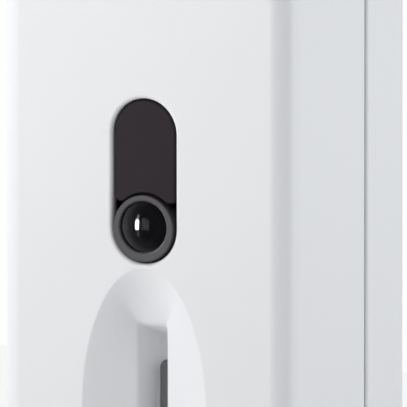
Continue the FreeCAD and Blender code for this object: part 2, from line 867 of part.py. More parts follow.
def switch_body():
    half = switch_side / 2
    body = block(-half, half, switch_front, sensor_board_front, stem_z - half, stem_z + half)
    room = plunger_inside + call_travel + plunger_clear
    return body.cut(rod(plunger_radius + plunger_fit, switch_front, switch_front + room, 0, stem_z))


def switch_plunger():
    return rod(plunger_radius, plunger_front, switch_front + plunger_inside, 0, stem_z)


def infrared_lamps():
    lamps = []
    tip = tray_floor_depth + lamp_under_floor
    for x, z in lamp_places():
        lens = rod(lamp_radius, tip + lamp_radius, sensor_board_front, x, z)
        dome = ball(lamp_radius, tip + lamp_radius, z, x)
        rim = rod(lamp_radius + lamp_rim, sensor_board_front - lamp_rim_height, sensor_board_front, x, z)
        lamps.append(lens.fuse([dome, rim]).removeSplitter())
    return group(lamps)


def light_sensor():
    half = light_sensor_side / 2
    z = window_z + light_sensor_up
    return block(-half, half, sensor_board_front - light_sensor_height, sensor_board_front,
                 z - half, z + half)


# ---------------------------------------------------------------- camera

def lens_ring():
    """A flat-faced ring whose bore follows the camera's axis, a little above its own."""
    bore = dome_radius + ring_clearance
    ring = rod(ring_radius, -ring_proud, tray_floor_depth, 0, ring_z)
    ring = ring.cut([rod(bore, -ring_proud, dome_flange_depth, 0, camera_z),
                     rod(skirt_inner, dome_flange_depth, tray_floor_depth, 0, camera_z)])
    ring = fillet_where(ring, ring_shoulder, lambda edge: lies_at_depth(edge, -ring_proud)
                        and edge.BoundBox.XLength > bore + ring_radius)
    return fillet_where(ring, ring_lip, lambda edge: lies_at_depth(edge, -ring_proud)
                        and edge.BoundBox.XLength < bore + ring_radius - ring_shoulder)


def dome_window():
    sphere_radius = (dome_radius ** 2 + dome_rise ** 2) / (2 * dome_rise)
    centre = dome_foot - dome_rise + sphere_radius
    outer = ball(sphere_radius, centre, camera_z).common(
        rod(dome_radius, dome_foot - dome_rise - slip, dome_foot, 0, camera_z))
    neck = rod(dome_radius, dome_foot, dome_flange_back, 0, camera_z)
    flange = rod(dome_flange_radius, dome_flange_depth, dome_flange_back, 0, camera_z)
    inside = rod(dome_radius - dome_wall, dome_foot - dome_rise, dome_flange_back, 0, camera_z).common(
        ball(sphere_radius - dome_wall, centre, camera_z))
    return outer.fuse([neck, flange]).removeSplitter().cut(inside)


def dome_seal():
    return tube(seat_outer, dome_seal_inner, dome_flange_back, seat_front, 0, camera_z)


def barrel_profile():
    end = barrel_start + barrel_length
    step = barrel_start + barrel_head_length
    pocket = barrel_start + lens_recess + lens_thickness
    return [(lens_radius, barrel_start), (barrel_head_radius, barrel_start), (barrel_head_radius, step),
            (barrel_radius, step), (barrel_radius, end), (barrel_bore, end), (barrel_bore, pocket),
            (lens_radius, pocket)]


def lens_barrel():
    return turned(barrel_profile(), camera_z)


def front_lens():
    foot = barrel_start + lens_recess
    crown_radius = (lens_radius ** 2 + lens_crown ** 2) / (2 * lens_crown)
    disc = rod(lens_radius, foot, foot + lens_thickness, 0, camera_z)
    crown = ball(crown_radius, foot - lens_crown + crown_radius, camera_z).common(
        rod(lens_radius, foot - lens_crown - slip, foot, 0, camera_z))
    return disc.fuse(crown)


def rear_lens():
    end = barrel_start + barrel_length
    return rod(barrel_bore, end - rear_lens_thickness, end, 0, camera_z)


def holder_screw_places():
    return [(holder_screw_x, camera_z + holder_screw_z), (-holder_screw_x, camera_z - holder_screw_z)]


def lens_holder():
    holder = block(-holder_half_width, holder_half_width, holder_front, camera_board_front,
                   camera_z - holder_half_height, camera_z + holder_half_height)
    slot_reach = holder_half_width - filter_slot_end_wall
    cuts = [
        rod(barrel_radius + screw_slip, holder_front, slot_front, 0, camera_z),
        block(-slot_reach, slot_reach, slot_front, slot_back, camera_z - filter_slot_half_height,
              camera_z + filter_slot_half_height),
        rod(light_hole_radius, slot_back, camera_board_front, 0, camera_z),
        block(-sensor_room_half_width, sensor_room_half_width, camera_board_front - sensor_room_depth,
              camera_board_front, camera_z - sensor_room_half_height, camera_z + sensor_room_half_height),
    ]
    for x, z in holder_screw_places():
        cuts.append(rod(small_screw_radius + screw_slip, camera_board_back - small_screw_length,
                        camera_board_front, x, z))
    return holder.cut(cuts)


def filter_carrier():
    """The night filter's frame, at rest with the infrared filter behind the lens."""
    wall = filter_slot_half_height - carrier_gap
    reach = holder_half_width - filter_slot_end_wall - carrier_gap
    back = carrier_front + carrier_thickness
    carrier = block(-reach, reach - filter_travel, carrier_front, back, camera_z - wall, camera_z + wall)
    for x in (0, -filter_travel):
        window = rod(filter_radius - filter_ledge, carrier_front, back, x, camera_z)
        seat = rod(filter_radius, carrier_front, carrier_front + filter_thickness, x, camera_z)
        carrier = carrier.cut([window, seat])
    return carrier


def filter_glass(x):
    return rod(filter_radius, carrier_front, carrier_front + filter_thickness, x, camera_z)


def filter_coil():
    top = camera_z - holder_half_height
    return block(-coil_half_width, coil_half_width, holder_front, holder_front + coil_length,
                 top - coil_height, top)


def image_sensor():
    return block(-image_sensor_width / 2, image_sensor_width / 2, camera_board_front - image_sensor_thickness,
                 camera_board_front, camera_z - image_sensor_height / 2, camera_z + image_sensor_height / 2)


def camera_board():
    board = block(-board_half_width, board_half_width, camera_board_front, camera_board_back,
                  camera_z - camera_board_half_height, camera_z + camera_board_half_height)
    return board.cut([rod(small_screw_radius + screw_slip, camera_board_front, camera_board_back, x, z)
                      for x, z in camera_posts() + holder_screw_places()])


# ---------------------------------------------------------------- sound

def grille_opening(extra, depth0, depth1):
    return stadium(grille_half_width + extra, grille_half_height - grille_half_width, depth0, depth1, dish_z)


def grille_countersink():
    """The chamfer round the grille's opening, as a solid to cut away."""
    sink = grille_opening(grille_slip + grille_rim, slot_floor_depth, slot_floor_depth + grille_rim)
    back_edges = [edge for edge in sink.Edges if lies_at_depth(edge, slot_floor_depth + grille_rim)]
    return sink.makeChamfer(0.999 * grille_rim, back_edges)


def sound_grille():
    """A formed strip of sintered mesh, too fine to model its pores."""
    plug = grille_opening(0, slot_floor_depth - grille_crown, baffle_back)
    front_edges = [edge for edge in plug.Edges if lies_at_depth(edge, slot_floor_depth - grille_crown)]
    plug = plug.makeFillet(grille_crown, front_edges)
    flange = grille_opening(grille_flange_step, baffle_back, baffle_back + grille_flange)
    return plug.fuse(flange).removeSplitter()


def speaker_gasket():
    return tube(speaker_gasket_outer, speaker_gasket_inner, collar_end, speaker_front, 0, dish_z)


def speaker_frame():
    foot = clamp_front
    return turned([
        (speaker_flange_inner, speaker_front), (speaker_radius, speaker_front), (speaker_radius, foot),
        (basket_radius, foot), (magnet_radius, basket_end), (magnet_radius, basket_end + basket_wall),
        (coil_radius + coil_wall + coil_gap, basket_end + basket_wall),
        (coil_radius + coil_wall + coil_gap, basket_end),
        (magnet_radius - basket_wall, basket_end), (basket_radius - basket_wall, foot),
        (speaker_flange_inner, foot),
    ], dish_z)


def speaker_surround():
    """A low half roll between the cone's edge and the frame's flange."""
    middle = (cone_outer + speaker_flange_inner) / 2
    top = speaker_front - surround_rise / 2
    face = speaker_front + surround_thickness
    return turned([
        (cone_outer, face), (middle, top + surround_thickness), (speaker_flange_inner, face),
        (speaker_flange_inner, face - surround_thickness), (middle, top),
        (cone_outer, face - surround_thickness),
    ], dish_z)


def speaker_cone():
    front = speaker_front + surround_thickness
    neck = front + cone_depth
    end = basket_end + basket_wall + coil_reach
    outer = coil_radius + coil_wall
    return turned([
        (0, neck - 2 * cone_wall), (coil_radius, neck - 2 * cone_wall), (cone_outer, front - cone_wall),
        (cone_outer, front), (outer, neck), (outer, end), (coil_radius, end), (coil_radius, neck),
        (0, neck),
    ], dish_z)


def speaker_magnet():
    front = basket_end + basket_wall
    end = front + magnet_length
    pole = coil_radius - coil_gap
    gap = coil_radius + coil_wall + coil_gap
    floor = end - pole_face
    return turned([
        (gap, front), (magnet_radius, front), (magnet_radius, end), (0, end), (0, front), (pole, front),
        (pole, floor), (gap, floor),
    ], dish_z)


def speaker_clamp():
    side = clamp_half_side
    plate = rounded_slab(side, dish_z - side, dish_z + side, clamp_corner, clamp_front,
                         clamp_front + clamp_thickness)
    cuts = [rod(basket_radius + slip, clamp_front, clamp_front + clamp_thickness, 0, dish_z)]
    cuts += [rod(medium_screw_radius + slip, clamp_front, clamp_front + clamp_thickness, x, z)
             for x, z in clamp_screw_places()]
    return plate.cut(cuts)


def speaker_screws():
    seat = clamp_front + clamp_thickness
    return group([screw_from_back(x, z, seat, clamp_screw_length, medium_screw_radius, medium_head_radius,
                                  medium_head_height) for x, z in clamp_screw_places()])


def microphone_boot():
    y = front_y + microphone_depth
    boot = upright(boot_radius, floor_z, floor_z + boot_height, 0, y)
    boot = boot.cut(upright(microphone_radius, floor_z + boot_floor, floor_z + boot_height, 0, y))
    return boot.cut(upright(sound_port_radius, floor_z, floor_z + boot_floor, 0, y))


def microphone():
    return upright(microphone_radius, floor_z + boot_floor, floor_z + boot_floor + microphone_height, 0,
                   front_y + microphone_depth)


# ---------------------------------------------------------------- main board

def main_board():
    front = main_board_front_depth
    board = block(-main_board_half_width, main_board_half_width, front, front + main_board_thickness,
                  main_board_low, main_board_high)
    return board.cut([rod(small_screw_radius + screw_slip, front, front + main_board_thickness, x, z)
                      for x, z in main_post_places()])


def main_board_screws():
    screws = []
    for x, z in main_post_places():
        seat = main_board_front_depth
        head = rod(small_head_radius, seat - small_head_height, seat, x, z)
        shank = rod(small_screw_radius, seat, seat + small_screw_length, x, z)
        cross = crossed(x, z, seat - small_head_height, 0.5 * small_head_height, small_head_radius)
        screws.append(head.fuse(shank).cut(cross))
    return group(screws)


def processor_shield():
    half = shield_side / 2
    front = main_board_front_depth
    can = block(shield_x - half, shield_x + half, front - shield_height, front,
                shield_z - half, shield_z + half)
    inner = half - shield_wall
    return can.cut(block(shield_x - inner, shield_x + inner, front - shield_height + shield_wall, front,
                         shield_z - inner, shield_z + inner))


def capacitors():
    front = main_board_front_depth
    x = main_board_half_width - capacitor_inset
    return group([rod(capacitor_radius, front - capacitor_height, front, x,
                      capacitor_z + index * capacitor_pitch) for index in (0, 1)])


def terminal_places():
    first = -(terminal_count - 1) / 2 * terminal_pitch
    return [first + index * terminal_pitch for index in range(terminal_count)]


def terminal_low():
    return main_board_low + terminal_above_edge


def terminal_block():
    half = terminal_count * terminal_pitch / 2
    front = main_board_front_depth - terminal_height
    low = terminal_low()
    strip = block(-half, half, front, main_board_front_depth, low, low + terminal_length)
    cuts = []
    for x in terminal_places():
        middle = front + terminal_height / 2 + terminal_mouth / 2
        cuts.append(rod(terminal_screw_radius + screw_slip, front, front + terminal_screw_sink
                        + terminal_screw_length - slip, x, low + terminal_length / 2))
        cuts.append(block(x - terminal_mouth / 2, x + terminal_mouth / 2, middle, middle + terminal_mouth / 2,
                          low, low + terminal_length - terminal_mouth / 2))
    return strip.cut(cuts)


def terminal_screws():
    screws = []
    front = main_board_front_depth - terminal_height + terminal_screw_sink
    z = terminal_low() + terminal_length / 2
    for x in terminal_places():
        shank = rod(terminal_screw_radius, front, front + terminal_screw_length - 2 * slip, x, z)
        slot = block(x - terminal_screw_radius, x + terminal_screw_radius,
                     front, front + terminal_screw_sink / 2, z - slip, z + slip)
        screws.append(shank.cut(slot))
    return group(screws)


def antenna():
    top = main_board_high - antenna_from_edge
    return block(-antenna_length / 2, antenna_length / 2, main_board_front_depth - antenna_height,
                 main_board_front_depth, top - antenna_width, top)


# ---------------------------------------------------------------- ribbons

def connector(z, depth0, depth1):
    half = ribbon_width / 2 + connector_side
    box = block(-half, half, depth0, depth1, z - connector_height, z + connector_height)
    slit = block(-ribbon_width / 2 - slip / 2, ribbon_width / 2 + slip / 2, depth0, depth1,
                 z - ribbon_thickness / 2 - slip / 4, z + ribbon_thickness / 2 + slip / 4)
    return box.cut(slit)


def ribbon_heights():
    camera_end = camera_z + camera_ribbon_above
    sensor_end = window_z + sensor_ribbon_above
    return ((camera_end, camera_board_back), (sensor_end, sensor_board_back))


def ribbon_connectors():
    boxes = []
    for z, board_back in ribbon_heights():
        boxes.append(connector(z, board_back, board_back + connector_depth))
        boxes.append(connector(z + ribbon_drop, main_board_front_depth - connector_depth,
                               main_board_front_depth))
    return group(boxes)


def ribbon(z, board_back):
    start = board_back + slip
    end = main_board_front_depth - slip
    run = connector_depth + ribbon_drop / 2
    path = [(start, z), (start + run, z), (end - run, z + ribbon_drop), (end, z + ribbon_drop)]
    return bent_strip(path, ribbon_thickness, ribbon_width)


# ---------------------------------------------------------------- wall side

def hook(x):
    """One hook of the wall plate: out through the base's back wall, then up behind it."""
    tip = body_depth + base_wall_y - hook_slip - plate_sheet
    left, right = x - hook_half_width, x + hook_half_width
    out = block(left, right, tip, body_depth - plate_sheet / 2, hook_z, hook_z + plate_sheet)
    lip = block(left, right, tip, tip + plate_sheet, hook_z, hook_z + hook_rise)
    return out.fuse(lip)


def wall_plate():
    depth0 = body_depth - plate_sheet
    plate = rounded_slab(plate_half_width, -plate_half_height, plate_half_height, plate_sheet_corner, depth0,
                         body_depth)
    solids = [hook(side * hook_x) for side in (-1, 1)]
    solids.append(block(-tab_half_width, tab_half_width, body_depth - tab_reach, body_depth - plate_sheet / 2,
                        tab_z, tab_z + plate_sheet))
    plate = plate.fuse(solids).removeSplitter()
    cuts = [rod(wall_hole_radius, depth0, body_depth, x, z)
            for x, z in corners(wall_screw_spacing_x / 2, wall_screw_spacing_z / 2)]
    reach = box_slot_length / 2 - box_slot_radius
    for side in (-1, 1):
        x = side * box_screw_spacing / 2
        cuts.append(block(x - reach, x + reach, depth0, body_depth, -box_slot_radius, box_slot_radius))
        cuts += [rod(box_slot_radius, depth0, body_depth, x + end * reach, 0) for end in (-1, 1)]
    window = rounded_slab(cable_window_half_width, cable_z - cable_window_half_height,
                          cable_z + cable_window_half_height, plate_sheet, depth0, body_depth)
    cuts.append(window)
    cuts.append(upright(lock_screw_radius, tab_z, tab_z + plate_sheet, 0, -lock_screw_y))
    return plate.cut(cuts)


def lock_screw():
    seat = -half_height + lock_head_sink
    face = seat - lock_head_height
    head = upright(lock_screw_head, face, seat, 0, -lock_screw_y)
    shank = upright(lock_screw_radius, seat, tab_z + plate_sheet + lock_screw_past_tab, 0, -lock_screw_y)
    centre = Vector(0, -lock_screw_y, face)
    corner = Vector(lock_socket, 0, 0)
    hexagon = [centre.add(FreeCAD.Rotation(ALONG_Z, 60 * side).multVec(corner)) for side in range(7)]
    socket = Part.Face(Part.makePolygon(hexagon)).extrude(Vector(0, 0, 0.7 * lock_head_height))
    return head.fuse(shank).cut(socket)


def cable_grommet():
    wall_front = body_depth + base_wall_y
    wall_back = body_depth - pocket_depth
    grommet = rod(grommet_radius, wall_front - grommet_lip, wall_back + grommet_lip, 0, cable_z)
    groove = tube(grommet_radius, grommet_groove_radius, wall_front, wall_back, 0, cable_z)
    bore = rod(grommet_bore, wall_front - grommet_lip, wall_back + grommet_lip, 0, cable_z)
    return grommet.cut([groove, bore])


# ---------------------------------------------------------------- all nodes

nodes = {
    "front_cover": front_cover,
    "rear_base": rear_base,
    "body_gasket": body_gasket,
    "cover_screws": cover_screws,
    "window_tray": window_tray,
    "tray_seal": tray_seal,
    "tray_screws": tray_screws,
    "call_plate": call_plate,
    "return_spring": return_spring,
    "stem_seal": stem_seal,
    "switch_body": switch_body,
    "switch_plunger": switch_plunger,
    "sensor_board": sensor_board,
    "infrared_lamps": infrared_lamps,
    "light_sensor": light_sensor,
    "sensor_board_screws": lambda: small_screws(sensor_posts(), sensor_board_back),
    "lens_ring": lens_ring,
    "dome_window": dome_window,
    "dome_seal": dome_seal,
    "lens_barrel": lens_barrel,
    "front_lens": front_lens,
    "rear_lens": rear_lens,
    "lens_holder": lens_holder,
    "lens_holder_screws": lambda: small_screws(holder_screw_places(), camera_board_back),
    "filter_carrier": filter_carrier,
    "infrared_filter": lambda: filter_glass(0),
    "clear_filter": lambda: filter_glass(-filter_travel),
    "filter_coil": filter_coil,
    "image_sensor": image_sensor,
    "camera_board": camera_board,
    "camera_board_screws": lambda: small_screws(camera_posts(), camera_board_back),
    "sound_grille": sound_grille,
    "speaker_gasket": speaker_gasket,
    "speaker_frame": speaker_frame,
    "speaker_surround": speaker_surround,
    "speaker_cone": speaker_cone,
    "speaker_magnet": speaker_magnet,
    "speaker_clamp": speaker_clamp,
    "speaker_screws": speaker_screws,
    "microphone_boot": microphone_boot,
    "microphone": microphone,
    "main_board": main_board,
    "main_board_screws": main_board_screws,
    "processor_shield": processor_shield,
    "capacitors": capacitors,
    "terminal_block": terminal_block,
    "terminal_screws": terminal_screws,
    "antenna": antenna,
    "ribbon_connectors": ribbon_connectors,
    "camera_ribbon": lambda: ribbon(*ribbon_heights()[0]),
    "sensor_ribbon": lambda: ribbon(*ribbon_heights()[1]),
    "wall_plate": wall_plate,
    "lock_screw": lock_screw,
    "cable_grommet": cable_grommet,
}

os.makedirs("parts", exist_ok=True)
for name, make in nodes.items():
    shape = make()
    shape.exportStep(os.path.join("parts", name + ".step"))
    print(f"{name}: {len(shape.Solids)} solid(s), {shape.Volume:.1f} mm3, valid {shape.isValid()}")
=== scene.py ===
"""Looks for a wall-mounted video doorbell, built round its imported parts.

Everything is in metres in the parts' own frame: the back lies on the wall at y = 0, the front
faces -Y and +Z is up.
"""
import math

import bmesh
import bpy
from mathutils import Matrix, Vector


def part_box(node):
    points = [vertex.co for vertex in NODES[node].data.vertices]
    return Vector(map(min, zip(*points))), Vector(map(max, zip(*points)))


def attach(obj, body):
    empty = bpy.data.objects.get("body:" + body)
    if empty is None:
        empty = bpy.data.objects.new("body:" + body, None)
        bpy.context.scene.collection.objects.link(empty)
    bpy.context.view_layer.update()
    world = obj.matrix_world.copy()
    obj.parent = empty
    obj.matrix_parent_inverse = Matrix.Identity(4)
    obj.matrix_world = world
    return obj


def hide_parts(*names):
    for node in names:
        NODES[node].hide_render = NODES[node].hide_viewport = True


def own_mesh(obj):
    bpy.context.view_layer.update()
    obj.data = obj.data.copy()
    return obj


bl_info = {
    "name": "Video Doorbell Looks",
    "version": (1, 0, 0),
    "blender": (4, 5, 0),
    "location": "3D View > Sidebar > Doorbell",
    "description": "Finishes and stage for a wall-mounted video doorbell",
    "category": "Object",
}

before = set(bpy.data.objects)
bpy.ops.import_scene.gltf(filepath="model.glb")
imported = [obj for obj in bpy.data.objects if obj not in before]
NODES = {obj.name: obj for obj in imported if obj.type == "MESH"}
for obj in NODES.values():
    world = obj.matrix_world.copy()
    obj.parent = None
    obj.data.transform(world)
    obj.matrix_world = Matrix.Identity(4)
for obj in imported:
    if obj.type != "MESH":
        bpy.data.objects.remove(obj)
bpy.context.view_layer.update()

MM = 0.001
MERGE = 0.001 * MM  # points closer than this are joined
TOUCH = 0.01 * MM  # places closer than this count as the same
CLEAR = 0.02 * MM  # a cutter runs this far past the face that it opens
UPRIGHT = (math.radians(90), 0, 0)  # stands a flat primitive up to face the front

# the dish's ellipse has as many points as the slot's mouth: 4 corners, 2 sides and 2 ends
CORNER_STEPS, SIDE_STEPS, END_STEPS = 4, 60, 28
DISH_POINTS = 4 * CORNER_STEPS + 2 * SIDE_STEPS + 2 * END_STEPS
DISH_BANDS = 5  # cuts between the dish's rim and the slot's mouth
SOFT_STEPS, RIM_STEPS = 8, 5  # facets of a rounded edge inside the slot, and at the rim
STRIP_POINTS = 48
SHELL_SMOOTH, SMALL_SMOOTH = 40, 30  # degrees up to which faces are shaded as one

SHADE_COOL = (0.955, 0.98, 1.0)  # the faint blue of open shade
WHITE = (1.0, 1.0, 1.0)


# ---------------------------------------------------------------- helpers

def srgb(hex_colour):
    """Linear RGB of an sRGB hex colour."""
    parts = [int(hex_colour[i:i + 2], 16) / 255 for i in (0, 2, 4)]
    return tuple(c / 12.92 if c <= 0.04045 else ((c + 0.055) / 1.055) ** 2.4 for c in parts)


def per_mm(size):
    """Texture scale that repeats a pattern every so many millimetres."""
    return 1000.0 / size


def add_node(tree, kind, settings=None, links=None):
    """Add a node; settings go to its properties or inputs, links join its inputs to outputs."""
    node = tree.nodes.new(kind)
    for key, value in (settings or {}).items():
        if isinstance(key, str) and key in node.bl_rna.properties:
            setattr(node, key, value)
        else:
            node.inputs[key].default_value = value
    for key, socket in (links or {}).items():
        tree.links.new(socket, node.inputs[key])
    return node


def start_material(name):
    """A new material, its empty node tree and its Object coordinates."""
    material = bpy.data.materials.new(name)
    material.use_nodes = True
    tree = material.node_tree
    tree.nodes.clear()
    place = add_node(tree, "ShaderNodeTexCoord").outputs["Object"]
    return material, tree, place


def finish_material(material, shader):
    """Join a material's last shader to its surface."""
    add_node(material.node_tree, "ShaderNodeOutputMaterial", links={"Surface": shader.outputs[0]})
    return material


def shaded(colour, share):
    """A colour darkened, or lightened, by a share, with alpha."""
    return (*[min(1.0, c * share) for c in colour], 1.0)


def dress(names, material):
    """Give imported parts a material."""
    for name in names:
        for material_slot in NODES[name].material_slots:
            material_slot.material = material


def sizes_and_colours():
    return bpy.context.scene.doorbell_sizes, bpy.context.scene.doorbell_colours


# ---------------------------------------------------------------- modelling

def only(piece):
    """Make this the one selected, active object."""
    bpy.ops.object.select_all(action="DESELECT")
    piece.select_set(True)
    bpy.context.view_layer.objects.active = piece


def start_piece(name):
    """Take the primitive just added as a piece, its place in its mesh, and start editing."""
    piece = bpy.context.object
    piece.name = piece.data.name = name
    bpy.ops.object.transform_apply(location=True, rotation=True, scale=True)
    bpy.ops.object.mode_set(mode="EDIT")
    bpy.ops.mesh.select_mode(type="EDGE")
    return piece


def end_piece():
    """Leave edit mode with nothing selected."""
    bpy.ops.mesh.select_all(action="DESELECT")
    bpy.ops.object.mode_set(mode="OBJECT")


def own_copy(node, name):
    """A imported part's mesh as a new piece, its loose triangles merged, with no material yet."""
    piece = bpy.data.objects.new(name, NODES[node].data.copy())
    bpy.context.scene.collection.objects.link(piece)
    piece.data.materials.clear()
    only(piece)
    bpy.ops.object.mode_set(mode="EDIT")
    bpy.ops.mesh.select_all(action="SELECT")
    bpy.ops.mesh.remove_doubles(threshold=MERGE)
    end_piece()
    return piece


def near(value, target):
    return abs(value - target) < TOUCH


def both(test):
    """An edge test from a test of one place."""
    return lambda a, b: test(a) and test(b)


def select_edges(piece, wanted):
    """Select, in edit mode, the edges whose two ends' places pass a test."""
    bpy.ops.mesh.select_mode(type="EDGE")
    bpy.ops.mesh.select_all(action="DESELECT")
    mesh = bmesh.from_edit_mesh(piece.data)
    for edge in mesh.edges:
        if wanted(edge.verts[0].co, edge.verts[1].co):
            edge.select_set(True)
    bmesh.update_edit_mesh(piece.data)


def select_points(piece, wanted):
    """Select, in edit mode, the points whose place passes a test."""
    bpy.ops.mesh.select_mode(type="VERT")
    bpy.ops.mesh.select_all(action="DESELECT")
    mesh = bmesh.from_edit_mesh(piece.data)
    for point in mesh.verts:
        point.select_set(wanted(point.co))
    bmesh.update_edit_mesh(piece.data)


def select_faces(piece, wanted):
    """Select, in edit mode, the faces whose middle passes a test."""
    bpy.ops.mesh.select_mode(type="FACE")
    bpy.ops.mesh.select_all(action="DESELECT")
    mesh = bmesh.from_edit_mesh(piece.data)
    for face in mesh.faces:
        face.select_set(wanted(face.calc_center_median()))
    bmesh.update_edit_mesh(piece.data)


def extrude(deeper=0.0):
    """Extrude what is selected, and carry it this far back."""
    bpy.ops.mesh.extrude_region_move(TRANSFORM_OT_translate={"value": (0, deeper, 0)})


def round_edges(piece, wanted, radius, steps):
    """Round off the edges that pass a test."""
    select_edges(piece, wanted)
    bpy.ops.mesh.bevel(offset=radius, segments=steps, affect="EDGES", clamp_overlap=True)


def face_outward():
    """Turn every face of the piece being edited to point outwards."""
    bpy.ops.mesh.select_all(action="SELECT")
    bpy.ops.mesh.normals_make_consistent(inside=False)


def combine(piece, tool, operation):
    """Join a second shape to a piece, or cut it out, and remove that shape."""
    only(piece)
    join = piece.modifiers.new("join", "BOOLEAN")
    join.operation, join.solver, join.object = operation, "EXACT", tool
    bpy.ops.object.modifier_apply(modifier=join.name)
    bpy.data.objects.remove(tool)


def smooth_finish(piece, degrees):
    """Smooth shading over soft edges, with flat faces kept flat."""
    only(piece)
    bpy.ops.object.shade_smooth_by_angle(angle=math.radians(degrees))
    flat = piece.modifiers.new("flat", "WEIGHTED_NORMAL")
    flat.keep_sharp, flat.weight = True, 80
    bpy.ops.object.modifier_apply(modifier=flat.name)


# ---------------------------------------------------------------- materials
# Pattern sizes, grain and depth are in millimetres. Real mould grain and metal streaks are about
# 0.1 mm or finer: they are drawn two to four times as coarse, so that they show.

NOISE_SPAN = {"From Min": 0.3, "From Max": 0.7}  # where a noise texture's values mostly lie


def moulded_plastic(name, colour, roughness, grain, depth, flow=0.03, level=0.5):
    """Injection-moulded plastic: one colour right through, spark-eroded grain, faint flow marks."""
    flow_size, spread = 35.0, 0.05
    material, tree, place = start_material(name)
    fine = add_node(tree, "ShaderNodeTexNoise",
                    {"Scale": per_mm(grain), "Detail": 3.0, "Roughness": 0.6}, {"Vector": place})
    broad = add_node(tree, "ShaderNodeTexNoise", {"Scale": per_mm(flow_size), "Detail": 1.0},
                     {"Vector": place})
    tint = add_node(tree, "ShaderNodeMix",
                    {"data_type": "RGBA", "A": shaded(colour, 1.0 - flow),
                     "B": shaded(colour, 1.0 + flow)}, {"Factor": broad.outputs["Fac"]})
    rough = add_node(tree, "ShaderNodeMapRange",
                     {**NOISE_SPAN, "To Min": roughness - spread, "To Max": roughness + spread},
                     {"Value": fine.outputs["Fac"]})
    bump = add_node(tree, "ShaderNodeBump", {"Strength": 1.0, "Distance": depth * MM},
                    {"Height": fine.outputs["Fac"]})
    shader = add_node(tree, "ShaderNodeBsdfPrincipled", {"IOR": 1.5, "Specular IOR Level": level},
                      {"Base Color": tint.outputs["Result"], "Roughness": rough.outputs["Result"],
                       "Normal": bump.outputs["Normal"]})
    return finish_material(material, shader)


def metal(name, colour, roughness, streak, depth=0.004, finer=(1, 1, 1)):
    """Bare or plated metal: an even grain, or streaks where it is finer along one axis."""
    patch_size, spread = 9.0, 0.07
    material, tree, place = start_material(name)
    turn = add_node(tree, "ShaderNodeMapping", {"Scale": finer}, {"Vector": place})
    fine = add_node(tree, "ShaderNodeTexNoise", {"Scale": per_mm(streak), "Detail": 4.0},
                    {"Vector": turn.outputs["Vector"]})
    broad = add_node(tree, "ShaderNodeTexNoise", {"Scale": per_mm(patch_size), "Detail": 2.0},
                     {"Vector": place})
    tint = add_node(tree, "ShaderNodeMix",
                    {"data_type": "RGBA", "A": shaded(colour, 0.88), "B": shaded(colour, 1.06)},
                    {"Factor": broad.outputs["Fac"]})
    rough = add_node(tree, "ShaderNodeMapRange",
                     {**NOISE_SPAN, "To Min": roughness - spread, "To Max": roughness + spread},
                     {"Value": fine.outputs["Fac"]})
    bump = add_node(tree, "ShaderNodeBump", {"Strength": 0.6, "Distance": depth * MM},
                    {"Height": fine.outputs["Fac"]})
    shader = add_node(tree, "ShaderNodeBsdfPrincipled", {"Metallic": 1.0},
                      {"Base Color": tint.outputs["Result"], "Roughness": rough.outputs["Result"],
                       "Normal": bump.outputs["Normal"]})
    return finish_material(material, shader)


def polished_window(name, colour, roughness, level):
    """Polished polycarbonate, dark to the eye: mirror-smooth, with a slight orange peel."""
    peel_size, peel_height, cloud_size = 2.5, 0.004, 12.0
    material, tree, place = start_material(name)
    peel = add_node(tree, "ShaderNodeTexNoise", {"Scale": per_mm(peel_size), "Detail": 1.0},
                    {"Vector": place})
    broad = add_node(tree, "ShaderNodeTexNoise", {"Scale": per_mm(cloud_size), "Detail": 2.0},
                     {"Vector": place})
    tint = add_node(tree, "ShaderNodeMix",
                    {"data_type": "RGBA", "A": shaded(colour, 0.92), "B": shaded(colour, 1.08)},
                    {"Factor": broad.outputs["Fac"]})
    bump = add_node(tree, "ShaderNodeBump", {"Strength": 0.3, "Distance": peel_height * MM},
                    {"Height": peel.outputs["Fac"]})
    shader = add_node(tree, "ShaderNodeBsdfPrincipled",
                      {"IOR": 1.58, "Roughness": roughness, "Specular IOR Level": level},
                      {"Base Color": tint.outputs["Result"], "Normal": bump.outputs["Normal"]})
    return finish_material(material, shader)


def glass(name, colour, ior, coating=WHITE):
    """Optical part: colour through it, and a coating that tints and weakens what it reflects."""
    cast_size = 6.0
    material, tree, place = start_material(name)
    cast = add_node(tree, "ShaderNodeTexNoise", {"Scale": per_mm(cast_size), "Detail": 1.0},
                    {"Vector": place})
    tint = add_node(tree, "ShaderNodeMix",
                    {"data_type": "RGBA", "A": shaded(colour, 0.95), "B": shaded(colour, 1.05)},
                    {"Factor": cast.outputs["Fac"]})
    shader = add_node(tree, "ShaderNodeBsdfPrincipled",
                      {"IOR": ior, "Roughness": 0.02, "Transmission Weight": 1.0,
                       "Specular Tint": (*coating, 1.0)},
                      {"Base Color": tint.outputs["Result"]})
    return finish_material(material, shader)


def circuit_board(name, mask, copper):
    """Solder resist over copper tracks that show as slightly lighter, raised lines."""
    track_spacing, track_height = 4.0, 0.05
    material, tree, place = start_material(name)
    flat = add_node(tree, "ShaderNodeMapping", {"Rotation": UPRIGHT}, {"Vector": place})
    tracks = add_node(tree, "ShaderNodeTexBrick",
                      {"Scale": per_mm(track_spacing), "Mortar Size": 0.09, "Mortar Smooth": 0.1,
                       "Color1": shaded(mask, 1.0), "Color2": shaded(mask, 0.85),
                       "Mortar": shaded(copper, 1.0)},
                      {"Vector": flat.outputs["Vector"]})
    bump = add_node(tree, "ShaderNodeBump", {"Strength": 0.5, "Distance": track_height * MM},
                    {"Height": tracks.outputs["Fac"]})
    shader = add_node(tree, "ShaderNodeBsdfPrincipled", {"IOR": 1.5, "Roughness": 0.35},
                      {"Base Color": tracks.outputs["Color"], "Normal": bump.outputs["Normal"]})
    return finish_material(material, shader)


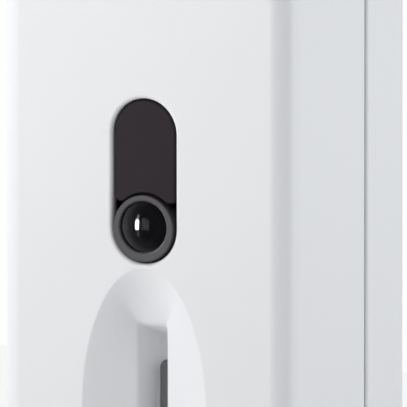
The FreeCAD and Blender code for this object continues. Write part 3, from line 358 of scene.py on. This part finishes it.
def rubber(name, colour):
    """Moulded silicone rubber: matt, slightly dusty, with a soft grain."""
    grain, depth = 0.5, 0.03
    material, tree, place = start_material(name)
    fine = add_node(tree, "ShaderNodeTexNoise", {"Scale": per_mm(grain), "Detail": 4.0},
                    {"Vector": place})
    tint = add_node(tree, "ShaderNodeMix",
                    {"data_type": "RGBA", "A": shaded(colour, 0.85), "B": shaded(colour, 1.2)},
                    {"Factor": fine.outputs["Fac"]})
    bump = add_node(tree, "ShaderNodeBump", {"Strength": 0.6, "Distance": depth * MM},
                    {"Height": fine.outputs["Fac"]})
    shader = add_node(tree, "ShaderNodeBsdfPrincipled", {"IOR": 1.43, "Roughness": 0.75},
                      {"Base Color": tint.outputs["Result"], "Normal": bump.outputs["Normal"]})
    return finish_material(material, shader)


def wound_wire(name, colour):
    """Enamelled copper wire in even turns along X: painted shade in the grooves, painted highlight
    on the ridges.
    """
    wire, wire_height = 0.3, 0.08
    material, tree, place = start_material(name)
    turns = add_node(tree, "ShaderNodeTexWave",
                     {"Scale": per_mm(wire) / math.tau, "Distortion": 0.4}, {"Vector": place})
    # painted shade: the colour halves in the grooves between turns and rises a little on the ridges
    # as a painted highlight
    tint = add_node(tree, "ShaderNodeMix",
                    {"data_type": "RGBA", "A": shaded(colour, 0.5), "B": shaded(colour, 1.1)},
                    {"Factor": turns.outputs["Fac"]})
    bump = add_node(tree, "ShaderNodeBump", {"Strength": 0.8, "Distance": wire_height * MM},
                    {"Height": turns.outputs["Fac"]})
    shader = add_node(tree, "ShaderNodeBsdfPrincipled", {"Metallic": 1.0, "Roughness": 0.3},
                      {"Base Color": tint.outputs["Result"], "Normal": bump.outputs["Normal"]})
    return finish_material(material, shader)


def pressed_pulp(name, colour):
    """Loudspeaker cone paper: short dark fibres pressed flat."""
    fibre_size, fuzz_size, fuzz_height = 0.8, 0.3, 0.06
    material, tree, place = start_material(name)
    fibre = add_node(tree, "ShaderNodeTexVoronoi",
                     {"Scale": per_mm(fibre_size), "Randomness": 1.0}, {"Vector": place})
    fine = add_node(tree, "ShaderNodeTexNoise", {"Scale": per_mm(fuzz_size), "Detail": 6.0},
                    {"Vector": place})
    tint = add_node(tree, "ShaderNodeMix",
                    {"data_type": "RGBA", "A": shaded(colour, 0.7), "B": shaded(colour, 1.5)},
                    {"Factor": fibre.outputs["Distance"]})
    bump = add_node(tree, "ShaderNodeBump", {"Strength": 0.7, "Distance": fuzz_height * MM},
                    {"Height": fine.outputs["Fac"]})
    shader = add_node(tree, "ShaderNodeBsdfPrincipled", {"IOR": 1.45, "Roughness": 0.85},
                      {"Base Color": tint.outputs["Result"], "Normal": bump.outputs["Normal"]})
    return finish_material(material, shader)


def white_asa(colour):
    """White ASA from a spark-eroded mould: even colour, soft satin highlights, a grain felt more
    than seen. Both shells share it."""
    name = "asa_white_satin"
    return bpy.data.materials.get(name) or moulded_plastic(
        name, colour, roughness=0.45, grain=0.35, depth=0.012, flow=0.006)


# ---------------------------------------------------------------- sizes and colours

def length(name, description, millimetres):
    return bpy.props.FloatProperty(name=name, description=description, default=millimetres * MM,
                                   min=0.0, subtype="DISTANCE", unit="LENGTH")


def angle(name, description, degrees):
    return bpy.props.FloatProperty(name=name, description=description,
                                   default=math.radians(degrees), subtype="ANGLE", unit="ROTATION")


def tone(name, description, hex_colour):
    return bpy.props.FloatVectorProperty(name=name, description=description, size=3, min=0.0,
                                         max=1.0, subtype="COLOR", default=srgb(hex_colour))


class DoorbellSizes(bpy.types.PropertyGroup):
    """Sizes that a user may change"""
    camera_turn: angle("Camera turn", "Camera's angle to the right of the front", 27.6)
    camera_rise: angle("Camera rise", "Camera's angle above the horizon", 7.0)
    view_width: length("View width", "Width that the camera sees at the front face", 103.8)
    view_right: length("View right", "Aim to the right of the front's middle line", 17.24)
    view_up: length("View up", "Aim above the body's middle", 31.2)
    floor_side: length("Floor side", "Side of the square floor", 1000.0)
    dish_half_width: length("Dish half width", "Half the width of the sound dish", 17.95)
    dish_half_height: length("Dish half height", "Half the height of the sound dish", 37.3)
    dish_depth: length("Dish depth", "Front face to the slot's mouth", 5.4)
    dish_rim: length("Dish rim", "Softening of the dish's rim", 0.45)
    slot_half_width: length("Slot half width", "Half the width of the slot", 3.7)
    slot_half_height: length("Slot half height", "Half the height of the slot", 22.0)
    slot_floor: length("Slot floor", "Front face to the slot's floor", 13.2)
    slot_corner: length("Slot corner", "Rounding of the slot's corners", 0.8)
    slot_lip: length("Slot lip", "Softening of the slot's mouth", 1.3)
    slot_foot: length("Slot foot", "Softening round the slot's floor", 0.7)
    slot_draft: length("Slot draft", "How far each side of the slot slopes inward", 0.8)
    slot_slope: length("Slot slope", "How far each end of the slot slopes inward", 3.0)
    grille_half_width: length("Grille half width", "Half the width of the strip's opening", 2.1)
    grille_half_height: length("Grille half height", "Half the height of the strip's opening", 12.2)


class DoorbellColours(bpy.types.PropertyGroup):
    """Colours that a user may change"""
    body: tone("Body", "White ASA of both shells", "EEEEF0")
    plate: tone("Call plate", "Dark infrared-clear polycarbonate", "272026")
    ring: tone("Camera ring", "Dark grey ABS", "454447")
    dome: tone("Dome", "Smoked acrylic", "454348")
    tray: tone("Window tray", "Black ABS", "2A272B")
    grille: tone("Sound grille", "Dark grey sintered strip", "7A7A7C")
    floor: tone("Floor", "Pale floor", "F4F4F4")


# ---------------------------------------------------------------- front shell

def sound_centre():
    """Height of the middle of the dish, the slot and the strip."""
    low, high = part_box("sound_grille")
    return (low.z + high.z) / 2


def outline_form(name, sizes, grow, corner, start, mouth, floor):
    """The dish and its slot, still open at both ends: an ellipse bridged to the slot's
    round-cornered mouth, then the slot's walls."""
    centre_z = sound_centre()
    half_x, half_z = sizes.dish_half_width + grow, sizes.dish_half_height + grow
    bpy.ops.mesh.primitive_circle_add(vertices=DISH_POINTS, radius=half_x,
                                      location=(0, start, centre_z), rotation=UPRIGHT)
    form = start_piece(name)
    bpy.ops.mesh.select_all(action="SELECT")
    bpy.ops.transform.resize(value=(1, 1, half_z / half_x), center_override=(0, start, centre_z))
    bpy.ops.mesh.select_all(action="DESELECT")
    half_x, half_z = sizes.slot_half_width + grow, sizes.slot_half_height + grow
    bpy.ops.mesh.primitive_plane_add(size=2 * half_x, location=(0, mouth, centre_z),
                                     rotation=UPRIGHT)
    bpy.ops.transform.resize(value=(1, 1, half_z / half_x), center_override=(0, mouth, centre_z))
    bpy.ops.mesh.bevel(offset=corner, segments=CORNER_STEPS, affect="VERTICES")
    select_faces(form, lambda middle: near(middle.y, mouth))
    bpy.ops.mesh.delete(type="ONLY_FACE")
    # the mouth's sides and ends are divided until it has the ellipse's number of points
    select_edges(form, lambda a, b: (near(a.y, mouth) and near(a.x, b.x)
                                     and abs(a.z - b.z) > half_z))
    bpy.ops.mesh.subdivide(number_cuts=SIDE_STEPS - 1)
    select_edges(form, lambda a, b: (near(a.y, mouth) and near(a.z, b.z)
                                     and abs(a.x - b.x) > 1 * MM))
    bpy.ops.mesh.subdivide(number_cuts=END_STEPS - 1)
    bpy.ops.mesh.select_all(action="SELECT")
    bpy.ops.mesh.bridge_edge_loops(number_cuts=DISH_BANDS, interpolation="LINEAR")
    select_edges(form, both(lambda p: near(p.y, mouth)))
    extrude(floor - mouth)
    return form


def dish_plug(sizes, front):
    """A rough filling for the dish and slot, a little inside the plastic round them."""
    bite, corner, sunk, lid = 0.7 * MM, 0.3 * MM, 0.1 * MM, 0.05 * MM
    start, mouth = front + sunk, front + sizes.dish_depth + 0.3 * MM
    floor = front + sizes.slot_floor + 0.4 * MM
    plug = outline_form("dish_plug", sizes, bite, corner, start, mouth, floor)
    bpy.ops.mesh.edge_face_add()
    select_edges(plug, both(lambda p: near(p.y, start)))
    extrude(-lid)
    bpy.ops.mesh.edge_face_add()
    face_outward()
    end_piece()
    return plug


def dish_cutter(sizes, front):
    """The dish and slot as the hand would feel them: soft rim, soft creases, round lip, sloped
    slot ends."""
    flange, flange_height = (1.2, 1, 1.1), 3 * MM
    centre_z = sound_centre()
    start, mouth = front - CLEAR, front + sizes.dish_depth
    floor = front + sizes.slot_floor + CLEAR
    cutter = outline_form("dish_cutter", sizes, 0, sizes.slot_corner, start, mouth, floor)
    narrower = 1 - sizes.slot_draft / sizes.slot_half_width
    shorter = 1 - sizes.slot_slope / sizes.slot_half_height
    bpy.ops.transform.resize(value=(narrower, 1, shorter), center_override=(0, floor, centre_z))
    bpy.ops.mesh.edge_face_add()
    round_edges(cutter, both(lambda p: near(p.y, floor)), sizes.slot_foot, SOFT_STEPS)
    round_edges(cutter, both(lambda p: near(p.y, mouth)), sizes.slot_lip, SOFT_STEPS)
    # a flange just in front of the face turns the rim into a second inside edge to round
    select_edges(cutter, both(lambda p: near(p.y, start)))
    extrude()
    bpy.ops.transform.resize(value=flange, center_override=(0, start, centre_z))
    extrude(-flange_height)
    bpy.ops.mesh.edge_face_add()
    face_outward()

    def on_rim(p):
        """On the dish's own ellipse, and not on the flange's larger one."""
        across, along = p.x / sizes.dish_half_width, (p.z - centre_z) / sizes.dish_half_height
        return near(p.y, start) and across ** 2 + along ** 2 < 1.05
    round_edges(cutter, both(on_rim), sizes.dish_rim, RIM_STEPS)
    end_piece()
    return cutter


def grille_cutter(sizes, front):
    """The strip's round-ended opening through the slot's floor."""
    depth, in_front = 4 * MM, 0.2  # the cutter's depth, and its share in front of the floor
    centre_z = sound_centre()
    middle_y = front + sizes.slot_floor + (0.5 - in_front) * depth
    bpy.ops.mesh.primitive_cylinder_add(
        vertices=STRIP_POINTS, radius=sizes.grille_half_width, depth=depth, rotation=UPRIGHT,
        location=(0, middle_y, centre_z))
    cutter = start_piece("grille_cutter")
    rise = sizes.grille_half_height - sizes.grille_half_width
    for side in (-1, 1):
        bpy.ops.mesh.select_all(action="SELECT")
        bpy.ops.mesh.bisect(plane_co=(0, 0, centre_z), plane_no=(0, 0, 1))
        select_points(cutter, lambda p: side * (p.z - centre_z) > TOUCH)
        bpy.ops.transform.translate(value=(0, 0, side * rise))
    end_piece()
    return cutter


class DOORBELL_OT_front_shell(bpy.types.Operator):
    """Model the soft edges of the sound dish and its slot into the front shell"""
    bl_idname = "doorbell.front_shell"
    bl_label = "Front Shell"

    def execute(self, context):
        sizes, colours = sizes_and_colours()
        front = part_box("front_cover")[0].y
        shell = own_copy("front_cover", "front_shell")
        combine(shell, dish_plug(sizes, front), "UNION")
        combine(shell, dish_cutter(sizes, front), "DIFFERENCE")
        combine(shell, grille_cutter(sizes, front), "DIFFERENCE")
        smooth_finish(shell, SHELL_SMOOTH)
        shell.data.materials.append(white_asa(colours.body))
        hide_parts("front_cover")
        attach(shell, "housing")
        return {"FINISHED"}


# ---------------------------------------------------------------- the other pieces

class DOORBELL_OT_rear_shell(bpy.types.Operator):
    """Finish the rear shell and the seal at the parting line"""
    bl_idname = "doorbell.rear_shell"
    bl_label = "Rear Shell"

    def execute(self, context):
        colours = sizes_and_colours()[1]
        dress(["rear_base"], white_asa(colours.body))
        # grey silicone, its grey darkened to paint the parting gap's shade: a soft dull line at the
        # bottom of the gap
        dress(["body_gasket"], rubber("silicone_grey_gap_shade", srgb("6A6A6D")))
        return {"FINISHED"}


def make_spring_leaf():
    """The arched leaf under the call plate, which flattens onto the tray as the plate comes in."""
    leaf = own_copy("return_spring", "spring_leaf")
    smooth_finish(leaf, SMALL_SMOOTH)
    # bright rolled spring steel: fine streaks across the leaf
    leaf.data.materials.append(metal("spring_steel_bright", srgb("BCBCC0"), roughness=0.25,
                                     streak=0.4, finer=(1, 1, 14)))
    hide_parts("return_spring")
    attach(leaf, "housing")
    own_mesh(leaf)


class DOORBELL_OT_window(bpy.types.Operator):
    """Finish the call plate, its switch and the tray behind it, and make its leaf spring"""
    bl_idname = "doorbell.window"
    bl_label = "Call Plate and Window"

    def execute(self, context):
        colours = sizes_and_colours()[1]
        # dyed polycarbonate with a hard coat against glare: brown-black, a weak clean gloss
        dress(["call_plate"], polished_window("polycarbonate_dark_polished", colours.plate,
                                              roughness=0.12, level=0.12))
        # black ABS: dull enough to stay a dark gap round the plate and the ring
        dress(["window_tray"], moulded_plastic("abs_black_satin", colours.tray, roughness=0.5,
                                               grain=0.3, depth=0.01, level=0.3))
        # black silicone: matt, with no clear highlight
        dress(["tray_seal", "stem_seal"], rubber("silicone_black", srgb("222222")))
        # black nylon: slightly rough, greyish where light grazes it
        dress(["switch_body"], moulded_plastic("nylon_black_switch", srgb("2A2A2C"),
                                               roughness=0.55, grain=0.2, depth=0.008))
        # natural acetal: waxy ivory
        dress(["switch_plunger"], moulded_plastic("acetal_ivory", srgb("DCD6C0"), roughness=0.4,
                                                  grain=0.2, depth=0.005))
        make_spring_leaf()
        return {"FINISHED"}


class DOORBELL_OT_camera_unit(bpy.types.Operator):
    """Finish the camera: ring, dome, lens, filters and their holder"""
    bl_idname = "doorbell.camera_unit"
    bl_label = "Camera Unit"

    def execute(self, context):
        colours = sizes_and_colours()[1]
        # dark grey ABS with a fine satin grain
        dress(["lens_ring"], moulded_plastic("abs_grey_satin", colours.ring, roughness=0.4,
                                             grain=0.25, depth=0.01, level=0.25))
        # smoked acrylic, coated against reflections: near black, with a small sharp glint
        dress(["dome_window"], glass("acrylic_smoked", colours.dome, 1.49, srgb("5E5E66")))
        # black silicone: matt, hidden under the dome's rim
        dress(["dome_seal"], rubber("silicone_black_dome", srgb("202020")))
        # black anodised aluminium: a dark satin tube round the lens
        dress(["lens_barrel"], metal("aluminium_black_anodised", srgb("1C1C1E"), roughness=0.45,
                                     streak=0.2, depth=0.003))
        # coated optical glass: clear, with a cold weak reflection
        dress(["front_lens", "rear_lens", "clear_filter"],
              glass("optical_glass_coated", srgb("D8E2E6"), 1.52, srgb("A8B4C8")))
        # infrared-cut glass: pale cyan through it, reddish in reflection
        dress(["infrared_filter"],
              glass("filter_glass_cyan", srgb("7CC4D0"), 1.52, srgb("C88C8C")))
        # black nylon: matt, to keep stray light off the sensor
        dress(["lens_holder", "filter_carrier"],
              moulded_plastic("nylon_black_matt", srgb("1A1A1C"), roughness=0.6, grain=0.3,
                              depth=0.01))
        # enamelled copper wire: reddish brown, with painted shade in the grooves between turns and
        # a painted highlight on the ridges
        dress(["filter_coil"], wound_wire("copper_wire_enamelled", srgb("B4643A")))
        # moulded epoxy package: smooth blue-black
        dress(["image_sensor"], moulded_plastic("sensor_package", srgb("24242A"), roughness=0.25,
                                                grain=0.4, depth=0.003))
        return {"FINISHED"}


class DOORBELL_OT_sound(bpy.types.Operator):
    """Finish the sound grille, loudspeaker and microphone"""
    bl_idname = "doorbell.sound"
    bl_label = "Sound Parts"

    def execute(self, context):
        colours = sizes_and_colours()[1]
        # a formed strip of sintered polyethylene: matt dark grey, its pores a fine even grain
        dress(["sound_grille"], moulded_plastic("polyethylene_sintered_grey", colours.grille,
                                                roughness=0.5, grain=0.25, depth=0.01))
        # tinned steel: softly bright, slightly mottled
        dress(["speaker_frame", "microphone"], metal("tinned_steel", srgb("C6C6C8"),
                                                     roughness=0.35, streak=0.5))
        # foam rubber: black and quite matt
        dress(["speaker_surround", "speaker_gasket", "microphone_boot"],
              rubber("foam_rubber_black", srgb("1E1E1E")))
        # pressed pulp: charcoal, with lighter fibres
        dress(["speaker_cone"], pressed_pulp("cone_paper", srgb("2E2E30")))
        # nickel plate on a magnet: darker than steel, with fairly sharp highlights
        dress(["speaker_magnet"], metal("magnet_nickel_plated", srgb("808084"), roughness=0.3,
                                        streak=0.4))
        # black nylon: matt
        dress(["speaker_clamp"], moulded_plastic("nylon_black_clamp", srgb("1C1C1E"),
                                                 roughness=0.6, grain=0.3, depth=0.01))
        return {"FINISHED"}


class DOORBELL_OT_electronics(bpy.types.Operator):
    """Finish the boards and what is soldered to them"""
    bl_idname = "doorbell.electronics"
    bl_label = "Boards"

    def execute(self, context):
        # green solder resist: glossy, the tracks under it a little lighter
        dress(["main_board", "camera_board", "sensor_board"],
              circuit_board("solder_resist_green", srgb("1E6B43"), srgb("2F8A58")))
        # rolled tinplate: bright, streaked one way
        dress(["processor_shield"], metal("shield_tinplate", srgb("CECED0"), roughness=0.3,
                                          streak=0.8, finer=(1, 1, 6)))
        # shrunk vinyl sleeve: smooth blue-black
        dress(["capacitors"], moulded_plastic("capacitor_sleeve", srgb("26262C"), roughness=0.35,
                                              grain=0.3, depth=0.004))
        # clear cast epoxy: faintly blue
        dress(["infrared_lamps", "light_sensor"], glass("epoxy_clear", srgb("DCE2EE"), 1.5))
        # green nylon: semi-matt
        dress(["terminal_block"], moulded_plastic("nylon_green", srgb("3F9A68"), roughness=0.5,
                                                  grain=0.3, depth=0.008))
        # natural nylon: ivory, semi-matt
        dress(["antenna", "ribbon_connectors"],
              moulded_plastic("nylon_ivory", srgb("D8D2BE"), roughness=0.5, grain=0.3,
                              depth=0.008))
        # polyester film: pale amber, smooth
        dress(["camera_ribbon", "sensor_ribbon"],
              moulded_plastic("polyester_film", srgb("D6CFB8"), roughness=0.3, grain=1.0,
                              depth=0.004))
        return {"FINISHED"}


class DOORBELL_OT_fixings(bpy.types.Operator):
    """Finish the screws, the wall plate and the cable grommet"""
    bl_idname = "doorbell.fixings"
    bl_label = "Fixings"

    def execute(self, context):
        screws = [name for name in NODES if name.endswith("_screws") or name == "lock_screw"]
        # zinc plate: cool grey, softly bright, slightly mottled
        dress(screws, metal("steel_zinc_plated", srgb("B8BABE"), roughness=0.32, streak=0.3))
        # hot-dip galvanised sheet: duller grey, with broad cloudy patches
        dress(["wall_plate"], metal("steel_galvanised_sheet", srgb("B2B4B8"), roughness=0.42,
                                    streak=2.5, depth=0.01))
        # black rubber: matt and slightly dusty
        dress(["cable_grommet"], rubber("rubber_black_grommet", srgb("262626")))
        return {"FINISHED"}


# ---------------------------------------------------------------- stage

# Lamps: degrees to the right of the front and above it, metres away, metres wide and high, watts.
LAMPS = {
    # the narrow strip draws the bright line down the left front corner
    "key_strip": {"turn": -36, "rise": 3, "away": 1.3, "wide": 0.22, "high": 1.2, "watts": 11.4},
    # the broad left lamp only lifts the shadows
    "left_box": {"turn": -65, "rise": 0, "away": 1.6, "wide": 1.2, "high": 1.2, "watts": 8.7},
    "right_box": {"turn": 100, "rise": 5, "away": 1.6, "wide": 1.0, "high": 1.2, "watts": 13.4,
                  "tint": SHADE_COOL},
    "back_box": {"turn": 180, "rise": 40, "away": 1.6, "wide": 0.6, "high": 0.8, "watts": 8.0,
                 "tint": SHADE_COOL},
    # these two light the dome alone: a bright crescent, and a faint window beside it
    "glint_strip": {"turn": -35, "rise": -6, "away": 1.3, "wide": 0.3, "high": 0.97,
                    "watts": 190.0},
    "glint_window": {"turn": -8, "rise": 5, "away": 1.3, "wide": 0.5, "high": 0.75, "watts": 7.0},
}
NO_REFLECTION = ("left_box",)
DOME_ONLY = ("glint_strip", "glint_window")
SURROUND_LIGHT = 0.235  # how strongly the white surround lights the object
FLOOR_GLOW = 0.8  # share of plain white in the floor as seen; the rest shows its shadows
SENSOR_WIDTH, FOCAL_LENGTH = 36.0, 1690.0  # millimetres: a long lens, for a nearly parallel view
NEAR_CLIP, FAR_CLIP = 0.05, 50.0
FLOOR_GAP = 1 * MM  # the floor's distance under the body


def seen_directly(tree):
    """1 where the camera, a reflection or a view through glass looks at the surface, else 0."""
    path = add_node(tree, "ShaderNodeLightPath")
    either = add_node(tree, "ShaderNodeMath", {"operation": "MAXIMUM"},
                      {0: path.outputs["Is Camera Ray"], 1: path.outputs["Is Glossy Ray"]})
    return add_node(tree, "ShaderNodeMath", {"operation": "MAXIMUM"},
                    {0: either.outputs[0], 1: path.outputs["Is Transmission Ray"]}).outputs[0]


def white_world(strength):
    """A white surround to look at, that lights the object only softly."""
    world = bpy.data.worlds.new("white_surround")
    bpy.context.scene.world = world
    world.use_nodes = True
    tree = world.node_tree
    tree.nodes.clear()
    seen = seen_directly(tree)
    level = add_node(tree, "ShaderNodeMapRange", {"To Min": strength, "To Max": 1.0},
                     {"Value": seen})
    tint = add_node(tree, "ShaderNodeMix",
                    {"data_type": "RGBA", "A": (*SHADE_COOL, 1.0), "B": (*WHITE, 1.0)},
                    {"Factor": seen})
    sky = add_node(tree, "ShaderNodeBackground",
                   links={"Color": tint.outputs["Result"], "Strength": level.outputs["Result"]})
    add_node(tree, "ShaderNodeOutputWorld", links={"Surface": sky.outputs[0]})


def painted_floor(colour):
    """Pale painted board: nearly even, with a soft mottle; it keeps the object's shadow."""
    mottle_size = 60.0
    material, tree, place = start_material("floor_painted_board")
    mottle = add_node(tree, "ShaderNodeTexNoise", {"Scale": per_mm(mottle_size), "Detail": 3.0},
                      {"Vector": place})
    tint = add_node(tree, "ShaderNodeMix",
                    {"data_type": "RGBA", "A": shaded(colour, 0.98), "B": shaded(colour, 1.02)},
                    {"Factor": mottle.outputs["Fac"]})
    board = add_node(tree, "ShaderNodeBsdfPrincipled", {"Roughness": 0.8},
                     {"Base Color": tint.outputs["Result"]})
    glow = add_node(tree, "ShaderNodeEmission", {"Color": (*WHITE, 1.0)})
    share = add_node(tree, "ShaderNodeMath", {"operation": "MULTIPLY", 1: FLOOR_GLOW},
                     {0: seen_directly(tree)})
    surface = add_node(tree, "ShaderNodeMixShader",
                       links={0: share.outputs[0], 1: board.outputs[0], 2: glow.outputs[0]})
    return finish_material(material, surface)


def outward(turn, rise):
    """Direction turned to the right of the front and raised above the horizon."""
    return Vector((math.sin(turn) * math.cos(rise), -math.cos(turn) * math.cos(rise),
                   math.sin(rise)))


def set_up(name, data, target, back, distance):
    """Put a lamp or camera this far back from its target, facing it."""
    holder = bpy.data.objects.new(name, data)
    bpy.context.scene.collection.objects.link(holder)
    holder.location = target + back * distance
    holder.rotation_euler = back.to_track_quat("Z", "Y").to_euler()
    return holder


def soft_box(name, target, turn, rise, away, wide, high, watts, tint=WHITE):
    """A rectangular studio lamp."""
    lamp = bpy.data.lights.new(name, "AREA")
    lamp.shape = "RECTANGLE"
    lamp.size, lamp.size_y, lamp.energy, lamp.color = wide, high, watts, tint
    return set_up(name, lamp, target, outward(math.radians(turn), math.radians(rise)), away)


def catch_light(lamp, pieces):
    """Let only these pieces pick up a lamp, as a glint in them."""
    group = bpy.data.collections.new(lamp.name)
    for piece in pieces:
        group.objects.link(piece)
    lamp.light_linking.receiver_collection = group
    lamp.light_linking.blocker_collection = group


class DOORBELL_OT_stage(bpy.types.Operator):
    """Set the pale floor, the soft studio lamps and the camera"""
    bl_idname = "doorbell.stage"
    bl_label = "Stage"

    def execute(self, context):
        sizes, colours = sizes_and_colours()
        low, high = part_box("front_cover")
        lens = bpy.data.cameras.new("camera")
        lens.sensor_width, lens.lens = SENSOR_WIDTH, FOCAL_LENGTH
        lens.clip_start, lens.clip_end = NEAR_CLIP, FAR_CLIP
        aim = Vector((sizes.view_right, low.y, sizes.view_up))
        context.scene.camera = set_up(
            "camera", lens, aim, outward(sizes.camera_turn, sizes.camera_rise),
            sizes.view_width * lens.lens / lens.sensor_width)

        bpy.ops.mesh.primitive_plane_add(size=sizes.floor_side,
                                         location=(0, 0, low.z - FLOOR_GAP))
        floor = context.object
        floor.name = "floor"
        floor.data.materials.append(painted_floor(colours.floor))

        middle = (low + high) / 2
        lamps = {name: soft_box(name, middle, **lamp) for name, lamp in LAMPS.items()}
        for name in NO_REFLECTION:
            lamps[name].visible_glossy = False
        for name in DOME_ONLY:
            catch_light(lamps[name], [NODES["dome_window"]])
        white_world(SURROUND_LIGHT)
        context.scene.view_settings.view_transform = "Standard"
        return {"FINISHED"}


# ---------------------------------------------------------------- panel and run

PIECES = (
    DOORBELL_OT_front_shell,
    DOORBELL_OT_rear_shell,
    DOORBELL_OT_window,
    DOORBELL_OT_camera_unit,
    DOORBELL_OT_sound,
    DOORBELL_OT_electronics,
    DOORBELL_OT_fixings,
    DOORBELL_OT_stage,
)


class DOORBELL_PT_panel(bpy.types.Panel):
    """Lists the sizes, the colours and the pieces"""
    bl_idname = "DOORBELL_PT_panel"
    bl_label = "Video Doorbell"
    bl_space_type = "VIEW_3D"
    bl_region_type = "UI"
    bl_category = "Doorbell"

    def draw(self, context):
        for group in sizes_and_colours():
            box = self.layout.box()
            for key in type(group).__annotations__:
                box.prop(group, key)
        for piece in PIECES:
            self.layout.operator(piece.bl_idname)


CLASSES = (DoorbellSizes, DoorbellColours, *PIECES, DOORBELL_PT_panel)


def register():
    for cls in CLASSES:
        bpy.utils.register_class(cls)
    bpy.types.Scene.doorbell_sizes = bpy.props.PointerProperty(type=DoorbellSizes)
    bpy.types.Scene.doorbell_colours = bpy.props.PointerProperty(type=DoorbellColours)


def unregister():
    del bpy.types.Scene.doorbell_colours
    del bpy.types.Scene.doorbell_sizes
    for cls in reversed(CLASSES):
        bpy.utils.unregister_class(cls)


def main():
    register()
    bpy.ops.object.select_all(action="DESELECT")
    bpy.ops.doorbell.front_shell()
    bpy.ops.doorbell.rear_shell()
    bpy.ops.doorbell.window()
    bpy.ops.doorbell.camera_unit()
    bpy.ops.doorbell.sound()
    bpy.ops.doorbell.electronics()
    bpy.ops.doorbell.fixings()
    bpy.ops.doorbell.stage()


if __name__ == "__main__":
    main()
